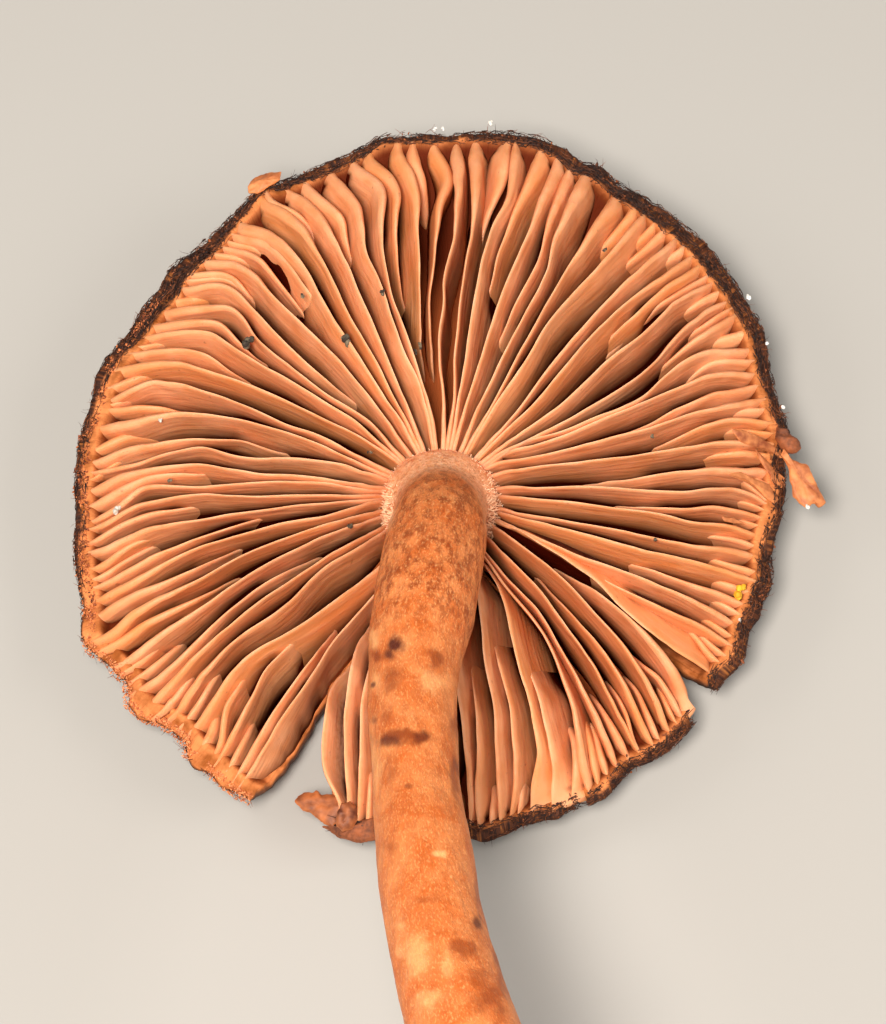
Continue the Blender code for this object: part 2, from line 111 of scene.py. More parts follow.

# Each gill's free edge as it is seen, read from its inner end outwards: its distance from
# the stem's top in pixels and its azimuth in degrees, by turns. Those that start within
# STEM_REACH pixels reach the stem.
STEM_REACH = 120
GILL_PATHS = (
    (70, 7.1, 83, 5, 103, 3.9, 147, 2.9, 180, 1.8, 213, 0.7, 247, 0.5, 263, 1.2, 287, 1.2, 310, 0.4,
     330, -2.1),
    (287, 3.9, 297, 3.4, 307, 2.1, 330, -1.8),
    (153, 3.6, 193, 4.6, 230, 5.5, 270, 5.4, 297, 4.8, 330, 4.2),
    (255, 7.6, 280, 8.1, 303, 8, 325, 7),
    (63, 20.7, 90, 17.1, 130, 13.6, 163, 12, 213, 11.2, 247, 10.9, 287, 10.6, 330, 9),
    (221, 12.1, 247, 13.6, 270, 14.7, 297, 14.8, 313, 13.9, 337, 12.1),
    (60, 30.7, 80, 25, 97, 21.8, 130, 20, 160, 18.9, 180, 18.7, 213, 18, 247, 17.9, 273, 17.8, 300,
     17.1, 337, 16.4),
    (195, 18.4, 227, 18.9, 253, 20, 280, 20.4, 297, 20.3, 313, 19.6, 340, 18.9),
    (70, 35, 87, 31.4, 103, 27.9, 127, 25.4, 147, 24.8, 213, 24.6, 270, 24.1, 293, 24.1, 313, 22.9,
     337, 20.7),
    (270, 24.5, 280, 25.5, 297, 26.1, 313, 25.4, 337, 23.2),
    (90, 32.9, 110, 30.4, 130, 27.9, 153, 26.6, 203, 26, 220, 25.6, 233, 26.3, 253, 27.9, 273, 28.8,
     293, 29.1, 310, 27.9, 340, 25),
    (230, 29.5, 247, 29.6, 263, 30.4, 290, 31.4, 313, 31.1, 345, 31.4),
    (73, 35, 97, 32.9, 127, 31.1, 153, 30.4, 180, 30.2, 223, 30.6, 237, 31.1, 257, 32.1, 290, 34.3,
     330, 34.6),
    (80, 38.4, 113, 37.5, 147, 37.1, 187, 37.9, 220, 38.9, 263, 38.9, 300, 39.5),
    (220, 40, 263, 40.2, 287, 41.3),
    (216, 43, 300, 43),
    (110, 44.5, 160, 45.7, 213, 46.6, 253, 46.2, 290, 45.2),
    (90, 47.4, 120, 48.2, 153, 49.8, 197, 50.2, 247, 49.8, 280, 49.3),
    (90, 59, 113, 58.6, 163, 57.9, 193, 58.2, 240, 56.8, 273, 55.7),
    (100, 60.4, 133, 60.7, 163, 61.4, 200, 61.3, 247, 61.1, 287, 60.5),
    (100, 66.5, 180, 65.4, 220, 64.6, 247, 64.6, 277, 66.4),
    (133, 69.5, 180, 68.9, 217, 68.2, 250, 67.5, 297, 68.9),
    (100, 75, 167, 73.6, 200, 73.2, 247, 72.5, 293, 71.3),
    (152, 78.2, 178, 77.4, 199, 76.9, 220, 76.8, 240, 77, 261, 76.3, 283, 75.9, 304, 75, 326, 74.3,
     356, 73.7),
    (70, 78.5, 96, 79.7, 116, 79.6, 156, 80.4, 197, 80.3, 237, 80.3, 258, 79.7, 277, 79.2, 295, 77.5,
     312, 77, 352, 78),
    (100, 82.5, 135, 84.9, 155, 84.8, 195, 84.4, 235, 83.9, 276, 83.3, 316, 83.8, 341, 84.4),
    (70, 87.5, 94, 88.2, 124, 90.5, 154, 90.7, 194, 89.7, 211, 90, 234, 88.8, 254, 87.5, 274, 87.1,
     315, 86.7, 344, 87.5),
    (259, 80.9, 273, 80.7, 293, 79.8, 305, 79, 323, 78.4, 355, 79.1),
    (150, 93.8, 200, 93, 250, 91.3, 300, 89.6, 313, 88, 330, 89.6, 345, 91.4),
    (300, 93, 315, 93.2, 333, 94.5),
    (150, 98, 160, 97.3, 187, 96.4, 230, 95.2, 270, 95, 300, 94.4, 325, 95.2, 340, 97),
    (213, 101.3, 237, 100.7, 263, 100, 293, 98.6, 310, 97.6, 325, 99.2, 343, 102),
    (80, 96.4, 107, 98.6, 140, 100.4, 200, 103.9, 250, 103.4, 300, 101, 310, 100.4, 325, 102, 340, 105),
    (83, 99.3, 100, 100.6, 117, 101.5, 133, 103.3, 150, 105.2, 200, 105.5, 230, 106.4, 250, 107.3, 300,
     105.6, 340, 109),
    (222, 111, 250, 110.9, 283, 110.1, 293, 109.1, 313, 111.5, 340, 113.8),
    (100, 110.7, 150, 111.2, 200, 111.9, 250, 112.1, 300, 113.2, 320, 114.3, 335, 115.9, 347, 117.9),
    (277, 116.3, 300, 116.1, 320, 117.2, 335, 120),
    (100, 115.5, 150, 116.1, 200, 117, 250, 116.6, 300, 117.4, 330, 119.6, 343, 121.4),
    (73, 118.4, 100, 119.4, 150, 120.7, 200, 121.3, 250, 120.7, 280, 121.1, 303, 122.1, 320, 123.9,
     340, 127.1),
    (190, 122.6, 213, 122.9, 247, 123.2, 283, 123.6, 307, 124.3, 320, 126.8, 340, 129.6),
    (210, 127.9, 230, 127, 247, 127.1, 293, 127.3, 313, 128.9, 333, 132.1),
    (63, 127.1, 87, 125.7, 127, 126.4, 167, 127.1, 213, 128.9, 253, 130, 290, 130.4, 313, 132.1, 323,
     134.3, 343, 137),
    (280, 133.9, 297, 133.4, 313, 134.6, 323, 136.8, 340, 140),
    (122, 133.2, 140, 134.6, 163, 135, 193, 135.7, 233, 135.7, 253, 135.2, 290, 135.2, 310, 136.8, 320,
     140, 333, 142.1),
    (63, 136.4, 97, 134.3, 113, 135.7, 147, 138.9, 180, 139.6, 220, 140, 247, 139.6, 263, 138, 283,
     138.2, 300, 141.4, 333, 147.1),
    (210, 143.4, 233, 143.6, 253, 142.9, 277, 142, 293, 143.6, 313, 146.8, 333, 150),
    (75, 140.5, 100, 138.9, 127, 140, 153, 141.4, 183, 142.9, 217, 144.1, 253, 144.5, 283, 144.6, 303,
     147.1, 340, 152.9),
    (227, 150, 247, 149.6, 270, 148.9, 293, 150, 317, 152.9, 343, 156.1),
    (80, 143.6, 123, 146.4, 160, 147.9, 200, 149.6, 230, 150.7, 257, 151.8, 290, 152.9, 313, 155, 347,
     159.3),
    (63, 155.7, 90, 155, 113, 153.9, 140, 154.3, 167, 155.7, 193, 155.7, 247, 156.2, 283, 156.8, 310,
     158.2, 337, 162.9, 350, 165.4),
    (273, 162.4, 293, 162.6, 313, 163.6, 340, 165.8),
    (60, 161, 90, 158.6, 127, 157.9, 167, 158.2, 207, 159.3, 247, 161.1, 273, 162.3, 293, 164.3, 313,
     166.4, 347, 168.9),
    (157, 165.2, 183, 165.7, 207, 165, 237, 166.8, 253, 167.2, 283, 169.3, 317, 171.6, 350, 175),
    (75, 163.7, 103, 163.4, 133, 165, 150, 165.9, 187, 168.9, 213, 169.5, 237, 168.6, 247, 168.9, 280,
     171.8, 303, 174.3, 347, 176.4),
    (307, 168.6, 317, 168.9, 330, 170.4, 350, 172.9),
    (303, 172.5, 317, 173.2, 333, 175.4, 350, 177.9),
    (90, 172.9, 120, 172.3, 153, 172.7, 183, 173.6, 200, 173, 230, 172.7, 257, 173.2, 287, 174.6, 320,
     176.8, 350, 179.6),
    (205, 174.2, 240, 175.2, 267, 175.4, 293, 176.4, 320, 179.3, 350, 182.1),
    (87, 176.4, 103, 175, 127, 174.6, 150, 175.4, 180, 176.1, 213, 177.3, 237, 178, 280, 178, 300,
     178.6, 320, 182.1, 347, 184.6),
    (80, 180.6, 113, 180, 147, 180.3, 180, 180.7, 237, 179.9, 260, 180.4, 300, 181.6, 330, 184.6),
    (203, 181.8, 227, 182.1, 253, 182.9, 287, 183.6, 320, 185.4, 350, 188),
    (73, 184.5, 100, 184.2, 133, 184.4, 167, 184.8, 200, 185.3, 253, 186.1, 287, 186.4, 313, 187.5,
     343, 189.3),
    (267, 187.9, 300, 188.6, 323, 190, 347, 192.1),
    (137, 185.4, 160, 186.8, 183, 187.9, 220, 189.3, 257, 190.7, 293, 192.1, 320, 193.5, 350, 195),
    (73, 186, 87, 189.3, 113, 190.3, 147, 190, 180, 190.5, 213, 191.6, 247, 192.3, 280, 193.9, 313,
     195.7, 350, 197.1),
    (200, 195.2, 230, 196.1, 260, 197.1, 293, 197.9, 323, 198.2, 360, 199.6),
    (70, 194.8, 93, 194.3, 133, 194.9, 160, 195.6, 193, 196.6, 223, 198, 253, 199.6, 300, 200.4, 330,
     201.2, 353, 202.9),
    (227, 202.7, 253, 203.2, 287, 203.6, 320, 203.6, 350, 204.6),
    (70, 200.5, 93, 200, 117, 199.6, 147, 200.4, 173, 201.1, 213, 202.9, 247, 204.6, 280, 205.7, 313,
     206.4, 353, 207.9),
    (140, 207.6, 160, 206.5, 187, 206.6, 213, 207.3, 247, 209, 283, 210.9, 313, 212.3, 340, 213),
    (80, 209, 100, 208, 127, 208.3, 147, 209.2, 167, 209.6, 200, 210.4, 237, 211.4, 257, 212, 283, 213,
     317, 214.6),
    (70, 213, 97, 212.5, 133, 211.8, 160, 213.6, 180, 215.4, 213, 215.7, 237, 215, 257, 215.4, 283,
     216.4, 313, 217.9, 340, 219.6),
    (97, 228.9, 133, 226.4, 160, 224.6, 177, 223.9, 200, 222.5, 233, 220.4, 253, 219.7, 283, 220.7,
     307, 222.1, 323, 222.9),
    (240, 222.1, 263, 222.7, 283, 223.6, 303, 224.6, 317, 226.4, 330, 228.6),
    (167, 225.2, 193, 224.6, 237, 224.6, 253, 225.2, 273, 226.8, 317, 229),
    (170, 232, 203, 231.8, 247, 232, 297, 232.9, 350, 234.3),
    (100, 238, 123, 236.4, 147, 235, 177, 233.8, 207, 234.4, 247, 234.3, 280, 234.3, 313, 235, 340,
     235.4),
    (200, 242.3, 209, 241.1, 218, 240.3, 230, 240.5, 243, 241.4, 257, 242.6, 274, 244, 288, 245.1, 302,
     247, 325, 252),
    (157, 241.8, 165, 240.9, 178, 241.1, 193, 242.2, 222, 244.7, 239, 246, 260, 248.1, 283, 250.2, 310,
     252.6, 340, 254),
    (167, 246.5, 221, 248.5, 273, 252.8, 293, 253.5, 317, 254.8, 346, 256),
    (100, 254, 200, 257, 330, 258.5),
    (190, 261.5, 330, 262),
    (100, 265, 330, 265.5),
    (170, 269, 330, 269),
    (100, 273.5, 200, 275, 300, 275.5),
    (157, 280.4, 180, 279.3, 220, 278.8, 253, 278.2, 280, 277.1, 313, 276.4, 340, 276.4),
    (310, 280, 320, 278.9, 340, 278.6),
    (103, 291.4, 113, 289.3, 140, 287.1, 163, 285, 193, 284.3, 220, 283.9, 247, 282.5, 273, 281.8, 313,
     280.4, 340, 280),
    (143, 289.6, 167, 288.9, 200, 288.2, 230, 287.5, 250, 286.3, 273, 285.5, 300, 284.2, 320, 282.8,
     340, 281.6),
    (110, 301, 127, 299.5, 147, 297, 167, 295, 193, 293.7, 220, 292.9, 247, 291.8, 270, 290.7, 287,
     289.3, 303, 287.1, 340, 285),
    (163, 297.5, 180, 296.8, 207, 296.1, 237, 295, 257, 294.3, 283, 292.9, 303, 291.8, 320, 290, 347,
     288.9),
    (277, 298.2, 290, 297.1, 313, 295.4, 327, 293.2),
    (270, 301.9, 290, 300.5, 307, 299.3, 330, 298.2),
    (113, 305, 147, 306.4, 180, 305.7, 213, 303.9, 247, 302.1, 270, 300.2, 300, 298, 330, 296.5),
    (267, 306.6, 293, 306.1, 320, 305.4),
    (100, 307.5, 130, 309.2, 150, 310, 173, 308.8, 200, 307.5, 233, 306.1, 263, 305, 293, 304, 313,
     303.2),
    (267, 311.3, 290, 310, 310, 308),
    (80, 317, 103, 316.1, 133, 316.1, 153, 314.8, 173, 313.9, 207, 312.9, 233, 311.4, 257, 310.4, 283,
     308.9, 323, 307.5),
    (127, 318.6, 147, 317.9, 173, 317.1, 207, 316.4, 230, 315.7, 257, 314.3, 283, 312.5, 317, 310.4),
    (277, 315, 293, 313.9, 323, 311.8),
    (80, 328.2, 103, 327.1, 130, 326.1, 160, 324.6, 193, 322.5, 220, 321.1, 247, 319.6, 273, 317.9,
     303, 315.7, 323, 314),
    (263, 319.6, 283, 320, 303, 318.6, 327, 317.1),
    (133, 326.8, 147, 327.5, 167, 327.9, 190, 327.7, 213, 327, 233, 326.1, 253, 325, 280, 323.6, 305,
     321.5, 320, 320),
    (93, 334.5, 123, 332.9, 153, 331.8, 177, 330.7, 197, 328.9, 217, 327.5, 240, 326.6, 267, 326.1,
     290, 326, 333, 326.4),
    (290, 331.1, 303, 329.5, 320, 328.9),
    (150, 332.9, 167, 332.1, 193, 332, 230, 332.7, 263, 333.2, 287, 333.2, 320, 332.5),
    (298, 334.8, 307, 334.5, 330, 333.8),
    (75, 336, 97, 336.1, 127, 336.2, 160, 336.6, 193, 337.1, 230, 337.3, 260, 337.3, 290, 336.8, 330,
     335.9),
    (303, 338.6, 330, 337.9),
    (163, 340.2, 180, 339.8, 200, 339.7, 220, 340.4, 240, 340.3, 270, 340.1, 297, 340.4, 330, 339.8),
    (80, 343, 113, 344.3, 147, 344.6, 200, 344.5, 237, 344.8, 260, 345.1, 297, 345, 330, 344.6),
    (270, 346.8, 297, 346.4, 327, 346.1),
    (75, 346.5, 127, 347.9, 160, 348.6, 193, 348.4, 230, 348.2, 263, 348.4, 297, 349.2, 330, 348.6),
    (267, 351.2, 293, 351.4, 323, 350.7),
    (63, 358.6, 97, 357.1, 133, 356.4, 167, 355.4, 207, 355, 230, 354.6, 253, 353.6, 293, 353.9, 323,
     352.5),
    (168, 355.7, 180, 356.1, 213, 356.4, 247, 356.8, 270, 357.5, 293, 357.1, 330, 355.4),
)

# Seen azimuth, how many degrees a gill's outer end hooks round in HOOK_SPAN pixels
# (+ anticlockwise), for gills that aren't read up to the margin.
HOOK_SPAN = 50.0
HOOK_END = 348.0
GILL_HOOK = (
    (0, -2.0), (35, -2.0), (60, -1.0), (77, 0.0), (86, 2.0), (97, 4.0), (125, 5.0), (150, 5.0),
    (172, 4.0), (200, 2.0), (245, 2.0), (262, 0.0), (288, -1.5), (330, -0.5),
)

# Seen azimuth and how far a gill's root lies anticlockwise of its free edge, in millimetres where
# the gill is deepest. The cap is bent on each side of a split, so the gills turn over there.
GILL_LEAN = (
    (0, -0.1), (20, -0.2), (40, -0.5), (60, -0.9), (75, -1.3), (84, -1.0), (88.6, -0.3), (90.4, 0.3),
    (95, 1.1), (105, 1.6), (120, 1.0), (140, 0.4), (160, 0.0), (180, -0.2), (205, -0.1), (215, 0.3),
    (225, 1.0), (242, 1.2), (256, 1.6), (270, 2.2), (285, 2.5), (298, 2.3), (303, 0.8), (310, 0.2),
    (322, 0.0), (330, -0.1), (350, -0.1),
)

# Seen azimuth of gills that show a broad face, how much further they lean, and how pale it is.
BROAD_FACES = (
    (56.6, -0.5, 0.0), (80.9, 2.8, 0.0), (107.3, 0.3, 0.0), (139.6, 0.4, 0.0), (219.7, 0.5, 0.0),
    (234.3, 0.6, 0.05), (242.2, 1.4, 0.35), (247.3, 0.8, 0.1), (251.1, 0.4, 0.05), (326.4, 4.2, 0.05),
)

# Share of the way to the margin beyond which the skin's felt wraps over the rim, by azimuth.
FELT_BAND = (
    (0, 0.985), (8, 0.96), (14, 0.978), (28, 0.972), (38, 0.958), (55, 0.952), (66, 0.955), (76, 0.972),
    (88, 0.985), (100, 0.98), (110, 0.97), (118, 0.985), (126, 0.965), (134, 0.945), (144, 0.945),
    (152, 0.968), (162, 0.985), (185, 0.987), (198, 0.995), (206, 1.01), (238, 1.01), (252, 0.96),
    (262, 0.965), (278, 0.972), (300, 0.985), (316, 0.975), (330, 0.975), (345, 0.968),
)

# Share at which the slits between the gills have run out in the rim, by azimuth.
MERGE_SHARE = (
    (0, 0.96), (20, 0.964), (45, 0.95), (65, 0.972), (85, 0.998), (105, 0.99), (122, 0.972),
    (138, 0.945), (152, 0.945), (168, 0.965), (185, 0.972), (198, 0.97), (212, 0.958), (232, 0.955),
    (255, 0.975), (280, 0.985), (315, 0.98), (330, 0.965), (345, 0.955),
)
MERGE_SPAN = 0.042
RIM_FILL = 0.99

# Half width of a gill's fold near the margin as a share of its room there, by azimuth.
FOLD_WIDTH = (
    (0, 0.29), (40, 0.29), (58, 0.32), (122, 0.33), (140, 0.31), (180, 0.32), (215, 0.3), (300, 0.29),
)

# Splits: x and y by turns along each gap's two sides as seen, from its tip, the side with the lower
# azimuth first.
SPLITS = {
    "left split": (
        (-3.6, -6.3, -5.5, -8.7, -7.0, -11.6, -7.7, -12.9, -8.5, -14.0, -9.3, -14.6, -10.0, -15.4,
         -10.4, -20.0),
        (-3.6, -6.3, -4.6, -8.2, -5.3, -10.0, -5.5, -13.6, -4.6, -20.0),
    ),
    "nick": (
        (6.65, -12.4, 6.9, -14.0, 6.85, -14.9, 6.45, -15.7, 5.95, -16.5, 5.6, -19.0),
        (6.65, -12.4, 7.0, -14.0, 7.45, -15.3, 7.6, -15.9, 8.0, -19.0),
    ),
    "right split": (
        (7.2, -4.8, 9.0, -6.25, 10.7, -7.6, 11.7, -9.1, 12.15, -10.0, 12.5, -11.0, 13.0, -12.2, 14.4,
         -15.0),
        (7.2, -4.8, 9.0, -6.05, 10.7, -7.15, 12.1, -8.05, 13.2, -8.8, 14.2, -9.5, 18.4, -12.2),
    ),
}
SPLIT_SEEN_HEIGHT = 6.0
TILT_SHIFT = 0.479
SIDE_EASE = 0.008
SIDE_ROOM = 0.14

# The stem: distance along it, with its radius there and how far it strays to the side.
STEM_START = 4.3
STEM_LEAN_DEG = (24.0, 62.0)
STEM_BEND_LENGTH = 16.0
STEM_RADII = (
    (0.0, 3.0), (0.9, 2.88), (1.7, 2.65), (2.6, 2.35), (4.0, 2.24), (8.6, 2.45), (12.4, 2.46),
    (15.0, 2.43), (16.9, 2.32), (18.6, 2.17), (21.1, 2.08), (24.0, 2.02), (27.9, 2.01), (29.2, 2.05),
    (30.5, 2.14), (32.0, 2.2), (37.0, 2.26), (40.5, 2.34), (44.0, 2.42), (46.5, 2.4), (47.7, 1.95),
    (48.2, 1.2),
)
STEM_STRAY = (
    (0.0, 0.0), (5.0, -0.06), (8.6, -0.21), (10.7, -0.41), (12.4, -0.58), (15.5, -0.94), (18.3, -1.2),
    (21.1, -1.32), (24.0, -1.22), (27.9, -1.08), (30.5, -0.84), (33.1, -0.61), (36.9, -0.12),
    (39.3, 0.32), (41.8, 0.85), (45.0, 1.55), (48.2, 2.2),
)

# Middle and half widths, in pixels, of the oval at the stem's top that has no bloom.
BARE_OVAL = ((439.5, 524.0), (49.0, 58.0))

# Marks on the stem as they are seen, in pixels: place, half width, half height, strength.
STEM_MARKS = {
    "bruise": (
        (394, 647, 9, 8, 1.0), (389, 655, 7, 7, 0.9), (373, 686, 3, 3, 0.9), (375, 722, 4, 5, 0.6),
        (392, 743, 13, 5, 0.75), (421, 737, 7, 6, 0.6), (455, 767, 5, 6, 0.4), (409, 788, 4, 3, 0.5),
        (477, 925, 5, 9, 0.85),
    ),
    "rust": (
        (378, 658, 12, 8, 0.9), (392, 680, 10, 12, 0.6), (385, 718, 9, 8, 0.5), (404, 738, 24, 7, 0.9),
        (437, 663, 9, 14, 0.8), (455, 727, 5, 12, 0.7), (456, 780, 6, 22, 0.7), (392, 775, 8, 10, 0.4),
        (390, 848, 8, 12, 0.6), (428, 902, 12, 5, 0.5), (463, 950, 14, 14, 0.7),
        (478, 980, 18, 12, 0.6), (490, 1000, 18, 14, 0.7), (480, 890, 5, 40, 0.5),
        (500, 985, 7, 60, 0.6),
    ),
    "light": (
        (442, 856, 7, 4, 1.0), (401, 928, 6, 4, 0.4), (420, 962, 14, 18, 0.5), (400, 954, 6, 8, 0.4),
        (427, 1004, 14, 12, 0.5), (448, 966, 6, 14, 0.4), (376, 772, 6, 28, 0.4),
        (400, 644, 14, 8, 0.2), (432, 682, 14, 12, 0.5), (374, 640, 5, 10, 0.6), (376, 682, 6, 10, 0.5),
    ),
}


def linear(hex_colour: str) -> tuple[float, float, float, float]:
    """Turns an sRGB hex colour to linear red, green, blue and a full alpha.

    Args:
        hex_colour: Six hex digits after a hash.

    Returns:
        The colour as the shader's sockets take it.
    """
    shares = [int(hex_colour[first : first + 2], 16) / 255 for first in (1, 3, 5)]
    parts = [c / 12.92 if c <= 0.04045 else ((c + 0.055) / 1.055) ** 2.4 for c in shares]
    return (*parts, 1.0)


def ease(part) -> np.ndarray:
    """Eases a rise from 0 to 1 in and out: three times its square less twice its cube."""
    return part * part * (3 - 2 * part)


def ramp(value, start: float, end: float) -> np.ndarray:
    """Rises in a straight line from 0 at the start to 1 at the end, and stays flat beyond."""
    return np.clip((value - start) / (end - start), 0, 1)


def points_of(*parts) -> np.ndarray:
    """Puts arrays of x, y and z, or of two of them, together as points."""
    return np.stack(np.broadcast_arrays(*parts), axis=-1).astype(float)


def unit(vectors: np.ndarray) -> np.ndarray:
    """Makes each vector one long."""
    return vectors / (np.linalg.norm(vectors, axis=-1, keepdims=True) + 1e-12)


def about_axis(azimuth, radius) -> tuple[np.ndarray, np.ndarray]:
    """Gives x and y of a place at this azimuth and distance from the stem's axis."""
    return radius * np.cos(azimuth), radius * np.sin(azimuth)


def curve_through(pairs, value) -> np.ndarray:
    """Reads a smooth curve through pairs of numbers.

    Between two pairs it is a cubic, whose slope at each pair is worked out from its neighbours.

    Args:
        pairs: Rows of (place, result), in rising order of place.
        value: The places to read at.

    Returns:
        The results there, held flat beyond the ends.
    """
    places, results = np.array(pairs, float).T
    slopes = np.gradient(results, places)
    value = np.clip(np.asarray(value, float), places[0], places[-1])
    index = np.clip(np.searchsorted(places, value, side="right") - 1, 0, len(places) - 2)
    width = places[index + 1] - places[index]
    part = (value - places[index]) / width
    rise = ease(part)
    start = part * (1 - part) ** 2 * width * slopes[index]
    end = part * part * (part - 1) * width * slopes[index + 1]
    return results[index] * (1 - rise) + results[index + 1] * rise + start + end


def round_mask(pairs, azimuth) -> np.ndarray:
    """Reads a closed line of straight pieces given by (azimuth in degrees, result) rows."""
    places, results = np.array(pairs, float).T
    return np.interp(np.degrees(azimuth) % 360, places, results, period=360)


def chance_at(corner: np.ndarray, seed: int) -> np.ndarray:
    """Gives each whole-number point a chance value from 0 to 1 that is the same in every run.

    Its three numbers are mixed by multiplying and shifting their bits.

    Args:
        corner: Points, with their three parts in the last axis.
        seed: Chooses another set of values.

    Returns:
        One value for each point.
    """
    parts = (corner.astype(np.int64) & 0xFFFFFFFF).astype(np.uint64)
    primes = np.array([73856093, 19349663, 83492791], np.uint64)
    mixed = (parts * primes).sum(axis=-1) + np.uint64(seed * 2654435761 % 4294967296)
    for shift, factor in ((15, 2246822519), (13, 3266489917)):
        mixed = (mixed ^ (mixed >> np.uint64(shift))) & np.uint64(0xFFFFFFFF)
        mixed = mixed * np.uint64(factor)
    mixed = (mixed ^ (mixed >> np.uint64(16))) & np.uint64(0xFFFFFF)
    return mixed.astype(float) / 0xFFFFFF


def noise(points: np.ndarray, size: float, seed: int, octaves: int = 1) -> np.ndarray:
    """Smooth chance from -1 to 1, made by blending the values at the corners of a lattice.

    Args:
        points: Places, with three parts in the last axis.
        size: The lattice's step, or the width of one bump.
        seed: Chooses another pattern.
        octaves: How many patterns are added, each half as large and strong as the last.

    Returns:
        One value for each place.
    """
    total, weights = 0.0, 0.0
    for octave in range(octaves):
        place = points / size * 2**octave + 31.7 * (octave + 1)
        low = np.floor(place)
        part = place - low
        eased = ease(part)
        found = 0.0
        for corner in np.ndindex(2, 2, 2):
            share = np.where(np.array(corner), eased, 1 - eased).prod(axis=-1)
            found = found + share * chance_at(low + np.array(corner), seed + octave)
        total = total + (2 * found - 1) / 2**octave
        weights += 1 / 2**octave
    return total / weights


def cap_place(seen_x, seen_y, height) -> tuple[np.ndarray, np.ndarray]:
    """Turns a place seen in the tilted view to the cap frame.

    The view's scale holds at SEEN_HEIGHT on the stem's axis, and what is nearer looks larger.

    Args:
        seen_x: Millimetres right of the stem's top.
        seen_y: Millimetres above it.
        height: The place's height over the crown.

    Returns:
        x and y in the cap frame.
    """
    sine = math.sin(math.radians(VIEW_TILT_DEG))
    cosine = math.cos(math.radians(VIEW_TILT_DEG))
    rise = height - SEEN_HEIGHT
    ahead = seen_y * (VIEW_DISTANCE - rise * cosine) - VIEW_DISTANCE * rise * sine
    y = ahead / (VIEW_DISTANCE * cosine - seen_y * sine)
    nearer = rise * cosine - y * sine
    return seen_x * (1 - nearer / VIEW_DISTANCE), y


def seen_place(points: np.ndarray) -> np.ndarray:
    """Gives where points of the cap frame are seen: the inverse of cap_place."""
    sine = math.sin(math.radians(VIEW_TILT_DEG))
    cosine = math.cos(math.radians(VIEW_TILT_DEG))
    rise = points[..., 2] - SEEN_HEIGHT
    nearer = rise * cosine - points[..., 1] * sine
    scale = 1 / (1 - nearer / VIEW_DISTANCE)
    up = points[..., 1] * cosine + rise * sine
    return points_of(points[..., 0] * scale, up * scale)


def margin_rows() -> tuple[np.ndarray, np.ndarray]:
    """Lists the margin's azimuth in radians and its distance from the stem's axis.

    Straight lines join the places that were read, and their corners are then rounded. The
    margin lies higher on the far side of the view than on the near one.
    """
    azimuth, distance = np.array(MARGIN_SEEN).reshape(-1, 2).T
    azimuth = np.radians(azimuth)
    distance = distance - FELT_COVER
    height = MARGIN_HEIGHT + MARGIN_RISE * np.sin(azimuth)
    x, y = cap_place(distance * np.cos(azimuth), distance * np.sin(azimuth), height)
    fine = np.arange(1440) / 1440 * math.tau
    line = np.interp(fine, np.arctan2(y, x) % math.tau, np.hypot(x, y), period=math.tau)
    rounded = np.hanning(11)[1:-1]
    line = np.convolve(np.pad(line, 4, mode="wrap"), rounded / rounded.sum(), "valid")
    return fine, line


MARGIN_ROWS = margin_rows()


def margin_radius(azimuth) -> np.ndarray:
    """Gives the margin's distance from the stem's axis at this azimuth in the cap frame."""
    return np.interp(azimuth, *MARGIN_ROWS, period=math.tau)


def felt_edge(azimuth) -> np.ndarray:
    """Share of the way to the margin at which the felt begins, with a ragged border."""
    around = points_of(*about_axis(azimuth, CAP_RADIUS), 0)
    return round_mask(FELT_BAND, azimuth) + 0.01 * noise(around, 0.8, 14, 3)


def merged(share, azimuth) -> np.ndarray:
    """How far the flesh has filled the slits between the gills: 0 inside, 1 at the rim."""
    part = np.clip((share - round_mask(MERGE_SHARE, azimuth)) / MERGE_SPAN + 1, 0, 1)
    return ease(part) * RIM_FILL


def crown_height(x, y) -> np.ndarray:
    """Height of the crown's outer skin: a shallow round bowl."""
    return ((x - CROWN_CENTRE[0]) ** 2 + (y - CROWN_CENTRE[1]) ** 2) / (2 * CROWN_RADIUS)


def flesh_over(share, azimuth) -> np.ndarray:
    """How far the flesh that the gills grow from lies over the skin."""
    filled = curve_through(GILL_DEPTH, share) * merged(share, azimuth)
    return curve_through(FLESH, share) + filled


def flesh_top(x, y) -> np.ndarray:
    """Height of the flesh that the gills grow from."""
    azimuth = np.arctan2(y, x) % math.tau
    return crown_height(x, y) + flesh_over(np.hypot(x, y) / margin_radius(azimuth), azimuth)


def gill_top(x, y) -> np.ndarray:
    """Height of the gills' free edges."""
    share = np.hypot(x, y) / margin_radius(np.arctan2(y, x))
    return crown_height(x, y) + curve_through(FLESH, share) + curve_through(GILL_DEPTH, share)


def placed_at(pixels, height, lift: float = 0.0) -> np.ndarray:
    """Puts places of the picture at a height, or on the gills' free edges where it is None.

    Args:
        pixels: Rows of x to the right and y down.
        height: Their height over the crown.
        lift: How far over the free edges they lie.

    Returns:
        Points of the cap frame.
    """
    seen = seen_of_pixels(pixels)
    rounds = 6 if height is None else 0
    height = GILL_READ_HEIGHT if height is None else height
    for _ in range(rounds):
        height = gill_top(*cap_place(seen[..., 0], seen[..., 1], height)) + lift
    return points_of(*cap_place(seen[..., 0], seen[..., 1], height), height)


def seen_of_pixels(pixels) -> np.ndarray:
    """Turns places of the picture to millimetres right of and above the stem's top."""
    pixels = np.asarray(pixels, float)
    return (pixels - AXIS_PIXEL) * (1, -1) / PIXELS_PER_MM


